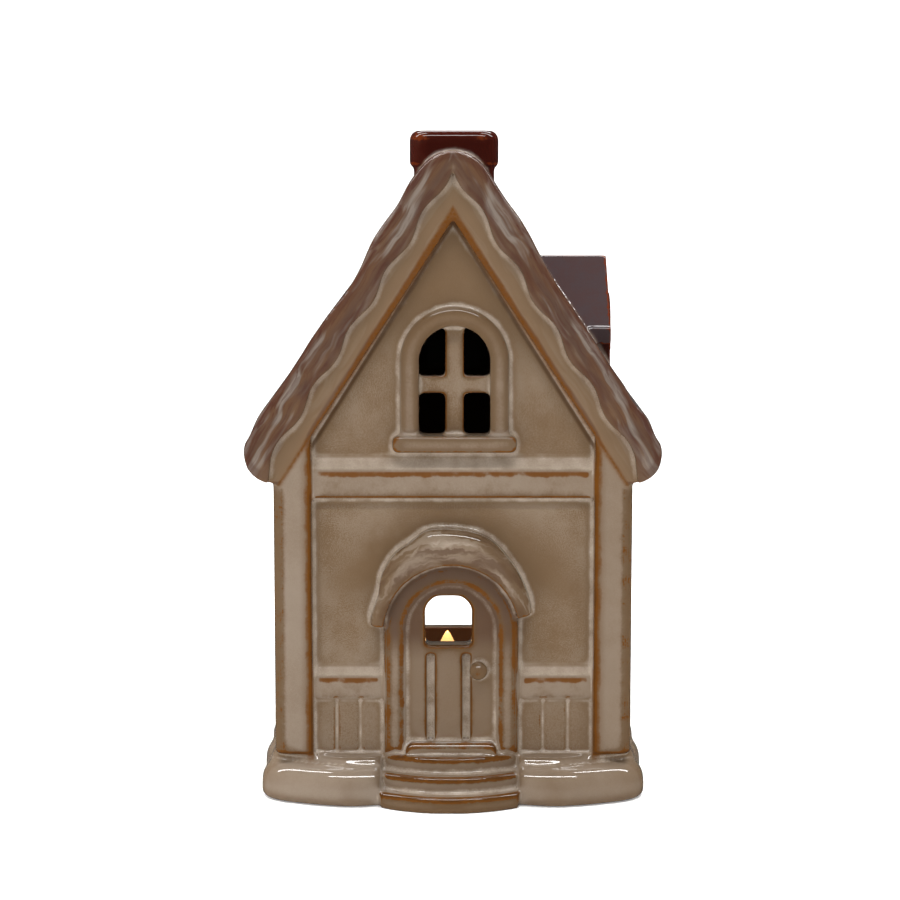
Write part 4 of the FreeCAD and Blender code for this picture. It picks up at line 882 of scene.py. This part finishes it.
class HOUSE_OT_tealight(bpy.types.Operator):
    """Gives the tealight's pieces their plastics and metals"""

    bl_idname = "house.tealight"
    bl_label = "Tealight"

    def execute(self, context):
        white = plastic("housing_plastic", linear("d2cec4"), 0.35)
        finishes = {
            "tealight_housing": white,
            "tealight_base": white,
            "battery_door": white,
            "switch_case": white,
            "switch_slider": plastic("switch_plastic", linear("1c1c1e"), 0.5),
            "flame_lens": flame_plastic(),
            "led": plastic("led_resin", linear("f6dd8c"), 0.15),
            "coin_cell": metal("cell_steel", linear("c4c4c0"), 0.28),
            "battery_door_screw": metal("screw_steel", linear("b8b8b4"), 0.3),
            "negative_contact": metal("contact_brass", linear("c9a55c"), 0.25),
            "positive_contact": metal("contact_brass_top", linear("c9a55c"), 0.25),
            "circuit_board": plastic("board_laminate", linear("1f5a33"), 0.4),
        }
        for node, material in finishes.items():
            item = frame["nodes"][node]
            item.data.materials.clear()
            item.data.materials.append(material)
        return {"FINISHED"}


# The studio

def aim(item, target):
    """Turns a light towards a place."""
    item.rotation_mode = "QUATERNION"
    item.rotation_quaternion = (Vector(target) - item.location).to_track_quat("-Z", "Y")


def panel_light(name, place, target, width, depth, power, glossy=False):
    """A soft light, which the glaze mirrors only if it is glossy."""
    bpy.ops.object.light_add(type="AREA", location=place)
    lamp = bpy.context.object
    lamp.name = name
    lamp.data.shape = "RECTANGLE"
    lamp.data.size = width
    lamp.data.size_y = depth
    lamp.data.energy = power
    lamp.visible_glossy = glossy
    lamp.visible_camera = False
    aim(lamp, target)


class HOUSE_OT_stage(bpy.types.Operator):
    """Sets the camera, the white sweep and the lights"""

    bl_idname = "house.stage"
    bl_label = "Studio"

    def execute(self, context):
        stage = context.scene.tealight_stage
        self.sweep(stage)
        middle = (0, 0, 0.07)
        for name, place, target, width, depth, power in (
            ("ceiling", (0, 0.1, 0.9), middle, 1.2, 0.9, 2.5),
            ("front_panel", (-0.6, -1.2, 0.7), middle, 1.2, 1.0, 5.0),
            ("left_panel", (-0.9, -0.2, 0.4), middle, 0.6, 0.6, 3.0),
            ("right_panel", (0.9, -0.2, 0.4), middle, 0.6, 0.6, 0.6),
            ("backdrop_panel", (0, 0.5, 1.3), (0, 1.5, 0.4), 1.5, 0.4, 12.0),
        ):
            panel_light(name, place, target, width, depth, power)
        for name, place, width, depth, power in (
            ("front_strip", (0, -0.32, 0.62), 0.6, 0.06, 3.0),
            ("back_strip", (0, 0.35, 0.62), 0.6, 0.06, 3.0),
            ("left_strip", (-0.33, 0.0, 0.62), 0.06, 0.6, 2.5),
            ("right_strip", (0.33, 0.0, 0.62), 0.06, 0.6, 2.5),
        ):
            panel_light(name, place, middle, width, depth, power, glossy=True)
        self.flame_light()
        self.world(stage.fill)
        self.camera(stage)
        context.scene.view_settings.view_transform = "Standard"
        return {"FINISHED"}

    def sweep(self, stage):
        """A white floor that curves up behind the house, and glows more the further it lies from it."""
        bpy.ops.mesh.primitive_plane_add(size=stage.floor, location=(0, 0, 0))
        floor = bpy.context.object
        floor.name = "floor"
        bpy.ops.object.mode_set(mode="EDIT")
        bpy.ops.mesh.select_all(action="DESELECT")
        bpy.ops.object.mode_set(mode="OBJECT")
        for edge in floor.data.edges:
            edge.select = all(floor.data.vertices[v].co.y > 0 for v in edge.vertices)
        bpy.ops.object.mode_set(mode="EDIT")
        bpy.ops.mesh.select_mode(type="EDGE")
        bpy.ops.mesh.extrude_region_move(TRANSFORM_OT_translate={"value": (0, 0, stage.backdrop)})
        bpy.ops.object.mode_set(mode="OBJECT")
        apply(floor, "BEVEL", width=stage.bend, segments=16, limit_method="ANGLE")
        select_only(floor)
        bpy.ops.object.shade_smooth()
        finish = Finish("white_paper", Roughness=0.9, Specular_IOR_Level=0.0, Emission_Strength=1.0)
        place = finish.place()
        fibre = finish.noise(place, 0.4, 3.0)
        glow = finish.mix(finish.distance(place).between(*GLOW_REACH), grey(0.25), grey(1.0))
        shade = finish.mix(fibre * 0.3, grey(0.93), grey(0.9))
        finish.feed(Base_Color=shade, Emission_Color=glow)
        floor.data.materials.append(finish.material)
        floor.visible_glossy = False

    def flame_light(self):
        """The flame's faint warm light on the walls around it."""
        low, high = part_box("flame_lens")
        middle = (low + high) / 2
        above = high.z + 4 * MM
        bpy.ops.object.light_add(type="POINT", radius=1.5 * MM, location=(middle.x, middle.y, above))
        lamp = bpy.context.object
        lamp.name = "flame_light"
        lamp.data.energy = 0.015
        lamp.data.color = (1.0, 0.72, 0.42)
        lamp.visible_camera = False

    def camera(self, stage):
        """The camera, where the photograph was taken from."""
        bpy.ops.object.camera_add(location=(stage.camera_x, stage.camera_y, stage.camera_height))
        camera = bpy.context.object
        camera.name = "photo_camera"
        camera.rotation_euler = Euler((math.pi / 2 - stage.camera_dip, 0, 0))
        camera.data.lens = stage.lens
        camera.data.sensor_width = 36
        camera.data.clip_start = 0.01
        bpy.context.scene.camera = camera

    def world(self, fill):
        """Even light from all around."""
        world = bpy.context.scene.world or bpy.data.worlds.new("studio")
        bpy.context.scene.world = world
        world.use_nodes = True
        background = world.node_tree.nodes["Background"]
        background.inputs["Color"].default_value = (1, 1, 1, 1)
        background.inputs["Strength"].default_value = fill


PIECES = (HOUSE_OT_clay, HOUSE_OT_walls, HOUSE_OT_roof, HOUSE_OT_chimney, HOUSE_OT_tealight, HOUSE_OT_stage)


class HOUSE_PT_panel(bpy.types.Panel):
    """Lists the steps that dress the house"""

    bl_label = "Tealight House"
    bl_idname = "HOUSE_PT_panel"
    bl_space_type = "VIEW_3D"
    bl_region_type = "UI"
    bl_category = "House"

    def draw(self, context):
        column = self.layout.column()
        for piece in PIECES:
            column.operator(piece.bl_idname)


SETTINGS = (ClaySettings, GlazeSettings, StageSettings)


def register():
    for item in SETTINGS + PIECES + (HOUSE_PT_panel,):
        bpy.utils.register_class(item)
    bpy.types.Scene.tealight_clay = PointerProperty(type=ClaySettings)
    bpy.types.Scene.tealight_glaze = PointerProperty(type=GlazeSettings)
    bpy.types.Scene.tealight_stage = PointerProperty(type=StageSettings)


def unregister():
    del bpy.types.Scene.tealight_clay
    del bpy.types.Scene.tealight_glaze
    del bpy.types.Scene.tealight_stage
    for item in reversed(SETTINGS + PIECES + (HOUSE_PT_panel,)):
        bpy.utils.unregister_class(item)


def main():
    register()
    bpy.ops.house.clay()
    bpy.ops.house.walls()
    bpy.ops.house.roof()
    bpy.ops.house.chimney()
    bpy.ops.house.tealight()
    bpy.ops.house.stage()


if __name__ == "__main__":
    main()
